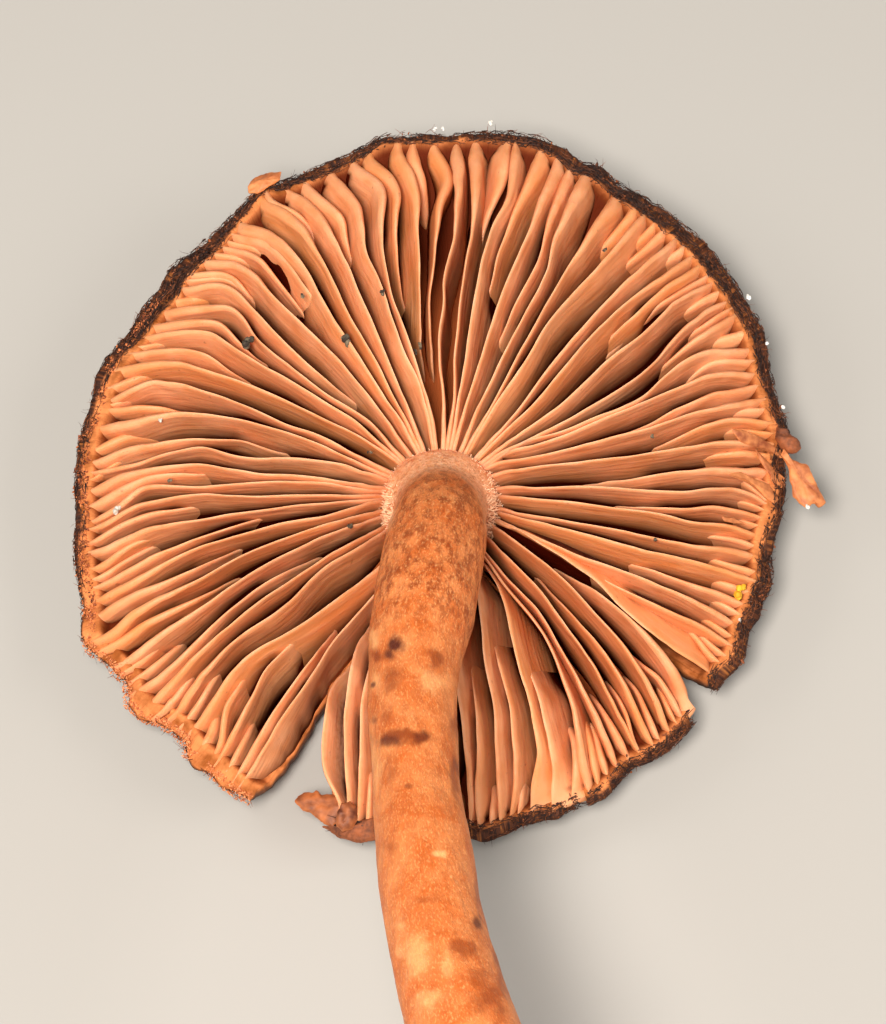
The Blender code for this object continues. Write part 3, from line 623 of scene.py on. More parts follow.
def azimuth_of_seen(seen_deg, radius=GILL_READ_RADIUS, height=GILL_READ_HEIGHT) -> np.ndarray:
    """Turns a seen azimuth in degrees to one in the cap frame in radians."""
    seen = np.radians(seen_deg)
    x, y = cap_place(radius * np.cos(seen), radius * np.sin(seen), height)
    return np.arctan2(y, x) % math.tau


def lie_down() -> Matrix:
    """The matrix from the cap frame in metres to the object's own frame."""
    tilt = math.radians(CAP_TILT_DEG)
    turn = Matrix.Rotation(tilt, 4, "X")
    low_x = CROWN_CENTRE[0]
    low_y = CROWN_CENTRE[1] - CROWN_RADIUS * math.tan(tilt)
    low = turn @ Vector((low_x, low_y, float(crown_height(low_x, low_y))))
    down = Vector((low.x, low.y, low.z + REST_FLAT_DEPTH))
    return Matrix.Translation(-down * MM) @ turn


def loft(rings: np.ndarray) -> tuple[np.ndarray, np.ndarray, np.ndarray]:
    """Skins closed rings of points into closed tubes, with a fan of triangles at each end.

    Rings that run clockwise about their path are turned round, so that faces point outwards.

    Args:
        rings: Points by tube, station along it, place round it, and x, y, z.

    Returns:
        The points, tube after tube, the four-sided faces, and the end triangles.
    """
    centre = rings.mean(axis=2)
    spoke = rings - centre[:, :, None]
    area = np.cross(spoke, np.roll(spoke, -1, axis=2)).sum(axis=2)
    turn = (area * np.gradient(centre, axis=1)).sum(axis=(1, 2))
    rings = np.where((turn < 0)[:, None, None, None], rings[:, :, ::-1], rings)
    tubes, stations, around, _ = rings.shape
    ends = centre[:, [0, -1]]
    points = np.concatenate([rings.reshape(tubes, -1, 3), ends], axis=1)
    size = stations * around + 2
    here = np.arange(around)
    after = (here + 1) % around
    row = np.arange(stations - 1)[:, None] * around
    quads = np.stack([row + here, row + after, row + around + after, row + around + here], axis=-1)
    last = (stations - 1) * around
    near = np.stack([after, here, np.full(around, size - 2)], axis=-1)
    far = np.stack([last + here, last + after, np.full(around, size - 1)], axis=-1)
    shift = (np.arange(tubes) * size)[:, None, None]
    quads = (quads.reshape(-1, 4) + shift).reshape(-1, 4)
    tris = (np.concatenate([near, far]) + shift).reshape(-1, 3)
    return points.reshape(-1, 3), quads, tris


def by_ring(values: np.ndarray) -> np.ndarray:
    """Lays out values by tube, station and place round it in the order of loft's points."""
    ends = values[:, [0, -1]].mean(axis=2)
    shape = (values.shape[0], -1, *values.shape[3:])
    return np.concatenate([values.reshape(shape), ends], axis=1).reshape(-1, *values.shape[3:])


def sheet_rings(middle: np.ndarray, half: np.ndarray) -> np.ndarray:
    """Gives a sheet two faces: each point moves half the thickness along the sheet's normal.

    Args:
        middle: The sheet's middle surface by sheet, station, level, and x, y, z.
        half: Half its thickness at each of those points.

    Returns:
        Closed rings for loft, up one face and down the other.
    """
    along = np.gradient(middle, axis=1)
    across = np.gradient(middle, axis=2)
    shift = unit(np.cross(along, across)) * half[..., None]
    return np.concatenate([middle + shift, (middle - shift)[:, :, ::-1]], axis=2)


def spokes(along: np.ndarray, side: np.ndarray, around: int) -> np.ndarray:
    """Gives the unit vectors square to a path, evenly spaced round it from one side of it."""
    angle = (np.arange(around) / around * math.tau)[:, None]
    other = np.cross(along, side)[..., None, :]
    return side[..., None, :] * np.cos(angle) + other * np.sin(angle)


def tube_rings(path: np.ndarray, radius: np.ndarray, sides: int) -> np.ndarray:
    """Puts a round ring of points square to the path at each of its stations.

    Args:
        path: Points by tube, station, and x, y, z.
        radius: The ring's radius at each of those points.
        sides: Points in a ring.

    Returns:
        Rings for loft.
    """
    along = unit(np.gradient(path, axis=1))
    spoke = spokes(along, unit(np.cross(along, (0.31, 0.27, 0.91))), sides)
    return path[:, :, None] + spoke * radius[:, :, None, None]


@dataclass
class Shape:
    """A mesh in the cap frame before it becomes a piece."""

    points: np.ndarray
    quads: np.ndarray
    tris: np.ndarray
    layers: dict[str, np.ndarray]

    @classmethod
    def from_rings(cls, rings: np.ndarray, layers: dict) -> "Shape":
        """Lofts rings and lays out their layers of values, which are numbers or vectors."""
        laid = {}
        for name, values in layers.items():
            one_each = np.ndim(values) < rings.ndim
            laid[name] = by_ring(np.broadcast_to(values, rings.shape[:3]) if one_each else values)
        return cls(*loft(rings), laid)

    def joined(self, other: "Shape") -> "Shape":
        """Puts two shapes with the same values in one."""
        count = len(self.points)
        return Shape(
            np.concatenate([self.points, other.points]),
            np.concatenate([self.quads, other.quads + count]),
            np.concatenate([self.tris, other.tris + count]),
            {n: np.concatenate([v, other.layers[n]]) for n, v in self.layers.items()},
        )

    def to_piece(self, name: str, finish: "Finish", slot: str, weld: bool = False):
        """Makes the mesh object, lays it down, dresses it and lets it ride on the body.

        Args:
            name: The piece's name.
            finish: What it is made of.
            slot: The record's material slot that this stands for; it is not used.
            weld: Whether points in the same place are merged.

        Returns:
            The new object.
        """
        place = np.array(lie_down())
        points = self.points * MM @ place[:3, :3].T + place[:3, 3]
        points[:, 2] = np.maximum(points[:, 2], 0.0)
        mesh = bpy.data.meshes.new(name)
        mesh.vertices.add(len(points))
        mesh.vertices.foreach_set("co", points.astype(np.float32).ravel())
        corners = np.concatenate([self.quads.ravel(), self.tris.ravel()]).astype(np.int32)
        mesh.loops.add(len(corners))
        mesh.loops.foreach_set("vertex_index", corners)
        fours, threes = len(self.quads), len(self.tris)
        starts = np.concatenate([np.arange(fours) * 4, fours * 4 + np.arange(threes) * 3])
        mesh.polygons.add(fours + threes)
        mesh.polygons.foreach_set("loop_start", starts.astype(np.int32))
        mesh.polygons.foreach_set("use_smooth", np.ones(fours + threes, bool))
        mesh.update(calc_edges=True)
        for layer, values in self.layers.items():
            kind, part = ("FLOAT", "value") if values.ndim == 1 else ("FLOAT_VECTOR", "vector")
            data = mesh.attributes.new(layer, kind, "POINT").data
            data.foreach_set(part, values.astype(np.float32).ravel())
        if weld:
            merged = bmesh.new()
            merged.from_mesh(mesh)
            bmesh.ops.remove_doubles(merged, verts=merged.verts[:], dist=1e-7)
            bmesh.ops.dissolve_degenerate(merged, edges=merged.edges[:], dist=1e-8)
            merged.to_mesh(mesh)
            merged.free()
        mesh.materials.append(finish.material())
        piece = bpy.data.objects.new(name, mesh)
        bpy.context.scene.collection.objects.link(piece)
        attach(piece, BODY)
        LOG.info("%s: %d faces", name, len(mesh.polygons))
        return piece


def give(tree, node, inputs: dict):
    """Sets a node's sockets, or links those whose value is another node's output.

    Args:
        tree: The material's node tree.
        node: The node.
        inputs: What each socket takes, by the socket's name or number.
    """
    for socket, value in inputs.items():
        if isinstance(value, bpy.types.NodeSocket):
            tree.links.new(value, node.inputs[socket])
        else:
            node.inputs[socket].default_value = value


def add_node(tree, kind: str, inputs: dict, output: int | str = 0, **settings):
    """Adds a node to a material, with its settings and links.

    Args:
        tree: The material's node tree.
        kind: The node's type, without the ShaderNode that each one begins with.
        inputs: Its sockets by name or number, each with a value or another node's output.
        output: Name or number of the output that is wanted.
        settings: The node's own fields.

    Returns:
        That output's socket.
    """
    node = tree.nodes.new("ShaderNode" + kind)
    for field_name, value in settings.items():
        setattr(node, field_name, value)
    give(tree, node, inputs)
    return node.outputs[output]


def coat(tree, under, over, value, low: float = 0.0, high: float = 1.0, most=1.0):
    """Lays one colour over another by a value.

    The upper colour's share rises in a straight line, from 0 where the value is low to the most
    it reaches where the value is high.

    Args:
        tree: The material's node tree.
        under: The lower colour, as a hex colour or a socket.
        over: The upper colour, likewise.
        value: The socket that it goes by.
        low: The value with none of the upper colour.
        high: The value with the most of it.
        most: Its greatest share, as a number or a socket.

    Returns:
        The colour's socket.
    """
    rise = {"Value": value, "From Min": low, "From Max": high, "To Max": most}
    share = add_node(tree, "MapRange", rise)
    under, over = (linear(c) if isinstance(c, str) else c for c in (under, over))
    # The colour sockets of a Mix node are numbers 6 and 7, and its colour result is number 2.
    return add_node(tree, "Mix", {0: share, 6: under, 7: over}, 2, data_type="RGBA")


@dataclass(frozen=True)
class Finish:
    """What a piece is made of, and the layers of values on its mesh that this reads."""

    name: str
    layers: ClassVar[tuple[str, ...]] = ()

    def material(self) -> bpy.types.Material:
        """Makes the material."""
        made = bpy.data.materials.new(self.name)
        made.use_nodes = True
        tree = made.node_tree
        place = add_node(tree, "TexCoord", {}, "Object")
        grain = add_node(tree, "Attribute", {}, "Vector", attribute_name="grain")
        read = [add_node(tree, "Attribute", {}, "Fac", attribute_name=n) for n in self.layers]
        give(tree, tree.nodes["Principled BSDF"], self.surface(tree, place, grain, *read))
        return made

    def surface(self, tree, place, grain, *read) -> dict:
        """Gives what each of the shader's sockets takes.

        Args:
            tree: The material's node tree.
            place: Socket with the place on the object, in metres.
            grain: Socket with the place along the piece's own fibres, in millimetres.
            read: A socket for each layer.

        Returns:
            Values and sockets by the names of the shader's sockets.
        """
        raise NotImplementedError


@dataclass(frozen=True)
class GillFinish(Finish):
    """Gills of a fibrecap: thin cinnamon plates of fungal flesh with a pale, minutely fringed edge.

    Thin wet flesh lets some light through, so the plates glow warm where they are lit. Each face
    is painted in dark red-brown shade below where the next gill's edge hides it from the view.
    The grain counts millimetres along the gill, up its face, and from gill to gill.
    """

    layers = ("edge", "painted_shade", "tint")
    face: str = "#d98a58"
    light: str = "#e8a072"
    ochre: str = "#d88647"
    # root: the colour of the painted shade on each face, where the next gill hides it from the view
    root: str = "#3c0c03"
    dirt: str = "#7a3a1a"
    edge: str = "#ebae8a"
    patch_mm: float = 1.6
    fibre_mm: float = 0.35
    speck_mm: float = 0.28

    def surface(self, tree, place, grain, edge, painted_shade, tint) -> dict:
        """Face colours in soft patches and streaks, then painted shade, dirt and edge."""
        in_patches = {"Vector": place, "Scale": 1000 / self.patch_mm, "Detail": 3.0}
        patches = add_node(tree, "TexNoise", in_patches)
        drawn = add_node(tree, "Mapping", {"Vector": grain, "Scale": (0.16, 1.0, 1.0)})
        lengthwise = {"Vector": drawn, "Scale": 1 / self.fibre_mm, "Detail": 4.0}
        fibres = add_node(tree, "TexNoise", lengthwise)
        specks = add_node(tree, "TexNoise", {"Vector": place, "Scale": 1000 / self.speck_mm})
        colour = coat(tree, self.face, self.light, patches, 0.38, 0.66)
        colour = coat(tree, colour, self.ochre, tint, 0.45, 1.3)
        colour = coat(tree, colour, self.light, fibres, 0.42, 0.7, 0.55)
        # Painted shade: the root colour covers each face below where the next gill's edge hides it.
        colour = coat(tree, colour, self.root, painted_shade, 0.45, 1.0)
        colour = coat(tree, colour, self.dirt, specks, 0.68, 0.8, 0.5)
        colour = coat(tree, colour, self.edge, specks, 0.1, 0.62, edge)
        # The painted shade also takes the shine away.
        fade = {"Value": painted_shade, "From Min": 0.2, "From Max": 0.8, "To Min": 0.35, "To Max": 0.0}
        relief = {"Height": fibres, "Strength": 0.5, "Distance": 0.00014}
        return {
            "Base Color": colour,
            "Normal": add_node(tree, "Bump", relief),
            "Roughness": 0.52,
            "IOR": FLESH_IOR,
            "Specular IOR Level": add_node(tree, "MapRange", fade),
            "Subsurface Weight": 0.2,
            "Subsurface Radius": (1.0, 0.45, 0.2),
            "Subsurface Scale": 0.0005,
        }


@dataclass(frozen=True)
class CapFinish(Finish):
    """Cap flesh of a fibrecap under a skin of fine radial brown fibres, which gives the family
    its name. The fibres part towards the margin and show paler flesh between them. The grain
    runs round the cap in its first two parts and outwards in its third.
    """

    layers = ("skin", "rim")
    fibre: str = "#5e2f14"
    fibre_dark: str = "#2c1308"
    between: str = "#a9672f"
    # flesh: dark red-brown painted shade for the narrow slits between the gills towards the margin
    flesh: str = "#5a210c"
    flesh_inside: str = "#a4552c"
    border: str = "#e08a52"
    border_dark: str = "#9a5426"
    patch_mm: float = 4.0
    mottle_mm: float = 0.9

    def surface(self, tree, place, grain, skin, rim) -> dict:
        """The skin's fibres outside, red-brown flesh between the gills, darkened outwards as painted
        shade of the narrow slits, and the rim's border.
        """
        fibres = add_node(tree, "TexNoise", {"Vector": grain, "Scale": 3.2, "Detail": 6.0})
        in_patches = {"Vector": place, "Scale": 1000 / self.patch_mm, "Detail": 3.0}
        patches = add_node(tree, "TexNoise", in_patches)
        mottled = {"Vector": place, "Scale": 1000 / self.mottle_mm, "Detail": 4.0}
        mottle = add_node(tree, "TexNoise", mottled)
        outer = coat(tree, self.fibre_dark, self.fibre, fibres, 0.4, 0.62)
        parted = add_node(tree, "MapRange", {"Value": patches, "From Min": 0.35, "From Max": 0.65})
        outer = coat(tree, outer, self.between, fibres, 0.55, 0.7, parted)
        outwards = add_node(tree, "SeparateXYZ", {0: grain}, 2)
        # Painted shade: outwards the flesh between the gills turns dark, as the narrow slits' shade.
        inner = coat(tree, self.flesh_inside, self.flesh, outwards, 2.1, 2.8)
        border = coat(tree, self.border, self.border_dark, mottle, 0.4, 0.68)
        inner = coat(tree, inner, border, rim)
        relief = {"Height": fibres, "Strength": 0.6, "Distance": 0.0003}
        shine = {"Value": skin, "To Min": 0.08, "To Max": 0.4}
        return {
            "Base Color": coat(tree, inner, outer, skin),
            "Normal": add_node(tree, "Bump", relief),
            "Roughness": 0.68,
            "IOR": FLESH_IOR,
            "Specular IOR Level": add_node(tree, "MapRange", shine),
        }


@dataclass(frozen=True)
class StemFinish(Finish):
    """Stem flesh: orange-tan flesh under a fine lengthwise felt, with a pale mealy bloom at the
    top and brown bruises where it was handled. The grain runs round the stem in its first two
    parts and down it in its third.
    """

    layers = ("bloom", "felt", "light", "rust", "bruise")
    body: str = "#cc6729"
    pale: str = "#de8448"
    fleck: str = "#8e3c0d"
    bloom: str = "#f0b78c"
    bruise: str = "#5a2412"
    light: str = "#fdb878"
    meal_mm: float = 0.16

    def surface(self, tree, place, grain, bloom, felt, light, rust, bruise) -> dict:
        """Lengthwise flecks and blotches, then bloom, pale and rusty marks and bruises."""
        drawn = add_node(tree, "Mapping", {"Vector": grain, "Scale": (1.0, 1.0, 0.5)})
        flecked = {"Vector": drawn, "Scale": 2.3, "Detail": 6.0, "Roughness": 0.68}
        flecks = add_node(tree, "TexNoise", flecked)
        fibres = add_node(tree, "TexNoise", {"Vector": drawn, "Scale": 11.0, "Detail": 3.0})
        blotch = add_node(tree, "TexNoise", {"Vector": grain, "Scale": 0.75, "Detail": 3.0})
        meal = add_node(tree, "TexNoise", {"Vector": place, "Scale": 1000 / self.meal_mm})
        colour = coat(tree, self.body, self.pale, blotch, 0.36, 0.64)
        colour = coat(tree, colour, self.fleck, flecks, 0.44, 0.6, felt)
        colour = coat(tree, colour, self.light, fibres, 0.52, 0.72, 0.5)
        colour = coat(tree, colour, self.bloom, meal, 0.25, 0.6, bloom)
        colour = coat(tree, colour, self.light, light)
        colour = coat(tree, colour, self.fleck, rust)
        colour = coat(tree, colour, self.bruise, bruise)
        relief = {"Height": flecks, "Strength": 0.6, "Distance": 0.0003}
        return {
            "Base Color": colour,
            "Normal": add_node(tree, "Bump", relief),
            "Roughness": 0.5,
            "IOR": FLESH_IOR,
            "Subsurface Weight": 0.2,
            "Subsurface Radius": (1.0, 0.4, 0.15),
            "Subsurface Scale": 0.0006,
        }


@dataclass(frozen=True)
class SpeckFinish(Finish):
    """Small loose matter, such as a grain of soil, a dry fibre or a crumb of torn flesh."""

    layers = ("tint",)
    dark: str
    light: str
    grain_mm: float = 0.2
    roughness: float = 0.7

    def surface(self, tree, place, grain, tint) -> dict:
        """Two colours, by each speck's tint and in grains."""
        grainy = {"Vector": place, "Scale": 1000 / self.grain_mm, "Detail": 3.0}
        grains = add_node(tree, "TexNoise", grainy)
        both = add_node(tree, "Math", {0: tint, 1: grains}, operation="ADD")
        relief = {"Height": grains, "Strength": 0.4, "Distance": 0.0001}
        return {
            "Base Color": coat(tree, self.dark, self.light, both, 0.6, 1.4),
            "Normal": add_node(tree, "Bump", relief),
            "Roughness": self.roughness,
        }


GILL_FLESH = GillFinish("cinnamon gill flesh")
CAP_FLESH = CapFinish("radially fibrillose cap skin")
STEM_FLESH = StemFinish("felted orange stem flesh")
MEAL = SpeckFinish("pale mealy bloom", "#d98f62", "#f7cda6", 0.2, 0.8)
SKIN_FIBRE = SpeckFinish("dark skin fibres", "#220c05", "#8a4a22")
MATTED_SKIN = SpeckFinish("matted skin", "#34150a", "#98522a", 0.18, 0.75)
TORN_FLESH = SpeckFinish("torn cap flesh", "#8e4520", "#dc8a50", 0.3, 0.6)
WEATHERED_FLESH = SpeckFinish("weathered cap flesh", "#54230e", "#bc6c3a", 0.4, 0.6)
RUSTY_FLESH = SpeckFinish("rusty cap flesh", "#7a3413", "#d67c44", 0.3, 0.6)
CRUMBLED_FLESH = SpeckFinish("crumbled cap flesh", "#a85226", "#ec9860", 0.3, 0.6)
SOIL = SpeckFinish("grains of soil", "#2e241c", "#7d6f58", 0.15, 0.85)
PALE_GRIT = SpeckFinish("pale grit", "#b9b3a6", "#efece4", 0.2, 0.5)
POLLEN = SpeckFinish("yellow pollen crust", "#d79a14", "#f5cf3a", 0.25, 0.75)
# Painted highlight: the beads of water are coloured white for the glint that clear water shows.
WATER_PAINTED_WHITE_GLINT = SpeckFinish("beads of water", "#d8d4cc", "#ffffff", 0.4, 0.08)


class GillKind(Enum):
    """Which gills a ring of them holds."""

    LONG = "long"
    SHORT = "short"


GRID = np.arange(40.0, 396.0, 4.0)
# Seen distance at which a gill's azimuth stands for the whole of it, and how far past its start
# a short gill has risen enough to hide its neighbours.
GILL_MIDDLE = 250.0
RISE_PIXELS = 52
# The slits stay open to the margin between these azimuths, with no small gills in them.
BARE_TOP = np.radians((60.0, 122.0))


def column_at(distance: float) -> int:
    """Gives the column of GRID at a seen distance in pixels."""
    return int(np.searchsorted(GRID, distance))


def path_on_grid(knots: tuple) -> np.ndarray:
    """Reads one gill's seen azimuth in degrees at every distance of GRID.

    Straight lines join the knots, and averaging each place with its neighbours rounds their
    corners. A gill that isn't read up to the margin hooks on from its last knot.
    """
    radius, azimuth = np.array(knots, float).reshape(-1, 2).T
    if radius[-1] < HOOK_END - 15:
        hook = round_mask(GILL_HOOK, np.radians(azimuth[-1]))
        rest = (HOOK_END - radius[-1]) / HOOK_SPAN
        azimuth = np.append(azimuth, azimuth[-1] + hook * rest)
        radius = np.append(radius, HOOK_END)
    line = np.pad(np.interp(GRID, radius, azimuth), 3, mode="edge")
    return np.convolve(line, np.array([1, 2, 3, 4, 3, 2, 1]) / 16, "valid")


@dataclass(frozen=True)
class Split:
    """A tear in the cap from its margin inwards, with a side of its own on each hand."""

    low_line: tuple
    high_line: tuple
    seed: int

    def side(self, seen_line, shares: np.ndarray, seed: int) -> tuple[np.ndarray, float]:
        """Gives the azimuth of one side at each share of the way to the margin.

        It runs along the seen line, with a little chance so that it looks torn. Nearer the stem
        than the tip it stays the tip's.

        Args:
            seen_line: The side's outline from its tip, as seen.
            shares: Where to read it.
            seed: Chooses its wobble.

        Returns:
            The azimuths, and the tip's share.
        """
        seen_x, seen_y = np.array(seen_line).reshape(-1, 2).T
        x, y = cap_place(seen_x, seen_y, SPLIT_SEEN_HEIGHT)
        azimuth = np.arctan2(y, x) % math.tau
        share = np.hypot(x, y) / margin_radius(azimuth)
        found = np.interp(shares, share, azimuth)
        open_share = ramp(shares, share[0], share[0] + 0.12)
        place = points_of(shares * CAP_RADIUS, seed, 0)
        return found + open_share * noise(place, 0.55, seed, 2) * 0.008, share[0]

    def sides(self, shares: np.ndarray) -> tuple[np.ndarray, np.ndarray, float]:
        """Gives both sides' azimuths at these shares, and the tip's share."""
        low, tip = self.side(self.low_line, shares, self.seed)
        high, _ = self.side(self.high_line, shares, self.seed + 10)
        return low, np.where(shares <= tip, low, np.maximum(high, low)), tip

    def kept_off(self, azimuth, edge_azimuth, radius) -> np.ndarray:
        """Keeps gill roots off the gap, each gill wholly on the side where most of its plate is.

        Near the side a root eases to a line beyond it instead of crossing it.

        Args:
            azimuth: The roots' azimuths from 0 to a full turn, by gill and station.
            edge_azimuth: The free edges' azimuths.
            radius: The roots' distances from the stem's axis.

        Returns:
            Their new azimuths.
        """
        share = radius / margin_radius(azimuth)
        low, high, tip = self.sides(share.ravel())
        low, high = low.reshape(share.shape), high.reshape(share.shape)
        below = (azimuth + edge_azimuth < low + high).mean(axis=1, keepdims=True) > 0.5
        hand = np.where(below, 1.0, -1.0)
        limit = np.where(below, low, high) - hand * SIDE_ROOM / radius
        short_of = hand * (limit - azimuth) / SIDE_EASE
        eased = limit - hand * SIDE_EASE * np.logaddexp(0, short_of)
        weight = ramp(share, tip - 0.12, tip) * (np.abs(azimuth - limit) < 0.3)
        return azimuth + weight * (eased - azimuth)

    def holds(self, azimuth: np.ndarray, radius: np.ndarray) -> np.ndarray:
        """Tells which points lie in the gap."""
        share = radius / margin_radius(azimuth)
        low, high, tip = self.sides(share)
        return (azimuth > low) & (azimuth < high) & (share > tip)


TEARS = tuple(Split(*lines, 3 + number) for number, lines in enumerate(SPLITS.values()))


def off_tears(azimuth: np.ndarray, radius: np.ndarray) -> np.ndarray:
    """Tells which places aren't over a split."""
    return ~np.any([tear.holds(azimuth % math.tau, radius) for tear in TEARS], axis=0)


@dataclass
class CapBody:
    """The cap's flesh and skin: a shallow round bowl with two splits and a nick in its margin."""

    rows: int = 84
    columns: int = 500
    lip: float = 0.006
    ragged: float = 0.16
    crumbling: float = 0.45
    furrow: float = 0.07

    def sector(self, start, end, count: int, shares: np.ndarray) -> Shape:
        """Makes the flesh between two splits.

        Its skin lies at the crown's height and its underside above it by the flesh's thickness.
        Each row is at one share of the way to the margin, and its columns are evenly spaced
        between the splits' sides.

        Args:
            start: Azimuth of the first side at each share, and its tip's share.
            end: The same of the last side.
            count: Columns.
            shares: The rows' shares.

        Returns:
            The sector, with walls where the splits are open.
        """
        part = np.linspace(0, 1, count)
        azimuth = start[0][:, None] + (end[0] - start[0])[:, None] * part
        share = np.repeat(shares[:, None], count, axis=1)
        ring = points_of(*about_axis(azimuth, CAP_RADIUS), share * CAP_RADIUS)
        tear = noise(ring, 0.8, 5, 2) * self.ragged
        crumbly = round_mask(((0, 0), (190, 0), (205, 1), (235, 1), (250, 0)), azimuth)
        tear += crumbly * self.crumbling * (noise(ring, 1.1, 8, 2) - 0.25)
        outwards = ramp(share, 0.9, 1.0) ** 2
        radius = share * margin_radius(azimuth) + tear * outwards
        x, y = about_axis(azimuth, radius)
        fibres = points_of(*about_axis(azimuth, 30), radius / 5)
        furrow = noise(fibres, 0.7, 3, 2) * self.furrow * ramp(radius, 0, 4)
        rim = ramp(share, 0.93, 1.0) ** 2
        curl = rim * (0.12 + 0.12 * noise(ring, 2.5, 12))
        skin = points_of(x, y, crown_height(x, y) + furrow + curl)
        top = crown_height(x, y) + flesh_over(share, azimuth) + curl
        rough = (0.04 + 0.1 * ramp(share, 0.93, 0.96)) * noise(ring, 0.4, 9, 2)
        under = points_of(x, y, top + rough)
        lip = (skin[-1:] + under[-1:]) / 2
        lip[..., :2] *= 1 + self.lip
        points = np.concatenate([skin, lip, under[::-1]])
        felted = ramp(share - felt_edge(azimuth), 0, 0.006)[::-1]
        outer = np.concatenate([np.ones_like(share), np.ones((1, count)), felted])
        grain = np.concatenate([fibres, fibres[-1:], fibres[::-1]])
        ends = merged(share, azimuth) ** 1.5
        for side, tip in ((0, start[1]), (-1, end[1])):
            away = np.abs(azimuth - azimuth[:, side : side + 1 or None]) * radius
            ends = np.maximum(ends, np.exp(-((away / 0.5) ** 2)) * (share > tip))
        near_rim = np.concatenate([ends, ends[-1:], ends[::-1]])
        layers = (outer, near_rim, grain)
        return self.skinned(points, layers, (start[1], end[1]), shares)

    def skinned(self, points, layers, tips: tuple, shares) -> Shape:
        """Joins the sector's grid with faces, walls at its open sides and a fan at each pole.

        Args:
            points: The loop of rows over the skin, round the lip and back, by column.
            layers: Which of them are skin, how near the margin they are, and the fibres' places.
            tips: Shares at which the first and the last side open.
            shares: The rows' shares.

        Returns:
            The shape, which is closed once its neighbours are welded to it.
        """
        outer, rim, grain = layers
        rows = len(shares)
        loops, count = points.shape[:2]
        index = np.arange(loops * count).reshape(loops, count)
        here, after = index[:-1], index[1:]
        grid = np.stack([here[:, :-1], here[:, 1:], after[:, 1:], after[:, :-1]], axis=-1)
        quads, tris = [grid.reshape(-1, 4)], []
        for column, tip, flip in ((0, tips[0], 1), (count - 1, tips[1], -1)):
            first = int(np.searchsorted(shares, tip)) - 1
            low = index[first:rows, column]
            high = index[loops - rows : loops - first, column][::-1]
            wall = np.stack([low[:-1], low[1:], high[1:], high[:-1]], axis=-1)
            quads.append(wall[:, ::flip])
            tris.append(np.array([[low[-1], index[rows, column], high[-1]]])[:, ::flip])
        poles = np.array([points[0].mean(axis=0), points[-1].mean(axis=0)])
        poles[:, :2] = 0.0
        total = loops * count
        low, high = index[0], index[-1]
        tris.append(np.stack([np.full(count - 1, total), low[1:], low[:-1]], axis=-1))
        tris.append(np.stack([high[:-1], high[1:], np.full(count - 1, total + 1)], axis=-1))
        skin = np.append(outer.ravel(), [1.0, 0.0])
        return Shape(
            np.concatenate([points.reshape(-1, 3), poles]),
            np.concatenate(quads),
            np.concatenate(tris),
            {
                "skin": skin,
                "rim": np.append(rim.ravel(), [0.0, 0.0]),
                "grain": np.concatenate([grain.reshape(-1, 3), np.zeros((2, 3))]),
            },
        )

    def build(self):
        """Makes the sectors between the splits one closed piece."""
        inner = np.linspace(0.03, 0.9, self.rows - 24)
        shares = np.concatenate([inner, np.linspace(0.9, 1.0, 25)[1:]])
        sides = []
        for tear in TEARS:
            low_side, high_side, tip = tear.sides(shares)
            sides.append(((low_side, tip), (high_side, tip)))
        first_side, first_tip = sides[0][0]
        closings = [low for low, _ in sides[1:]] + [(first_side + math.tau, first_tip)]
        sectors = []
        for (_, opening), closing in zip(sides, closings):
            span = closing[0][0] - opening[0][0]
            count = max(8, int(self.columns * span / math.tau))
            sectors.append(self.sector(opening, closing, count, shares))
        piece = reduce(Shape.joined, sectors).to_piece("cap_body", CAP_FLESH, "cap_flesh", weld=True)
        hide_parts("cap")


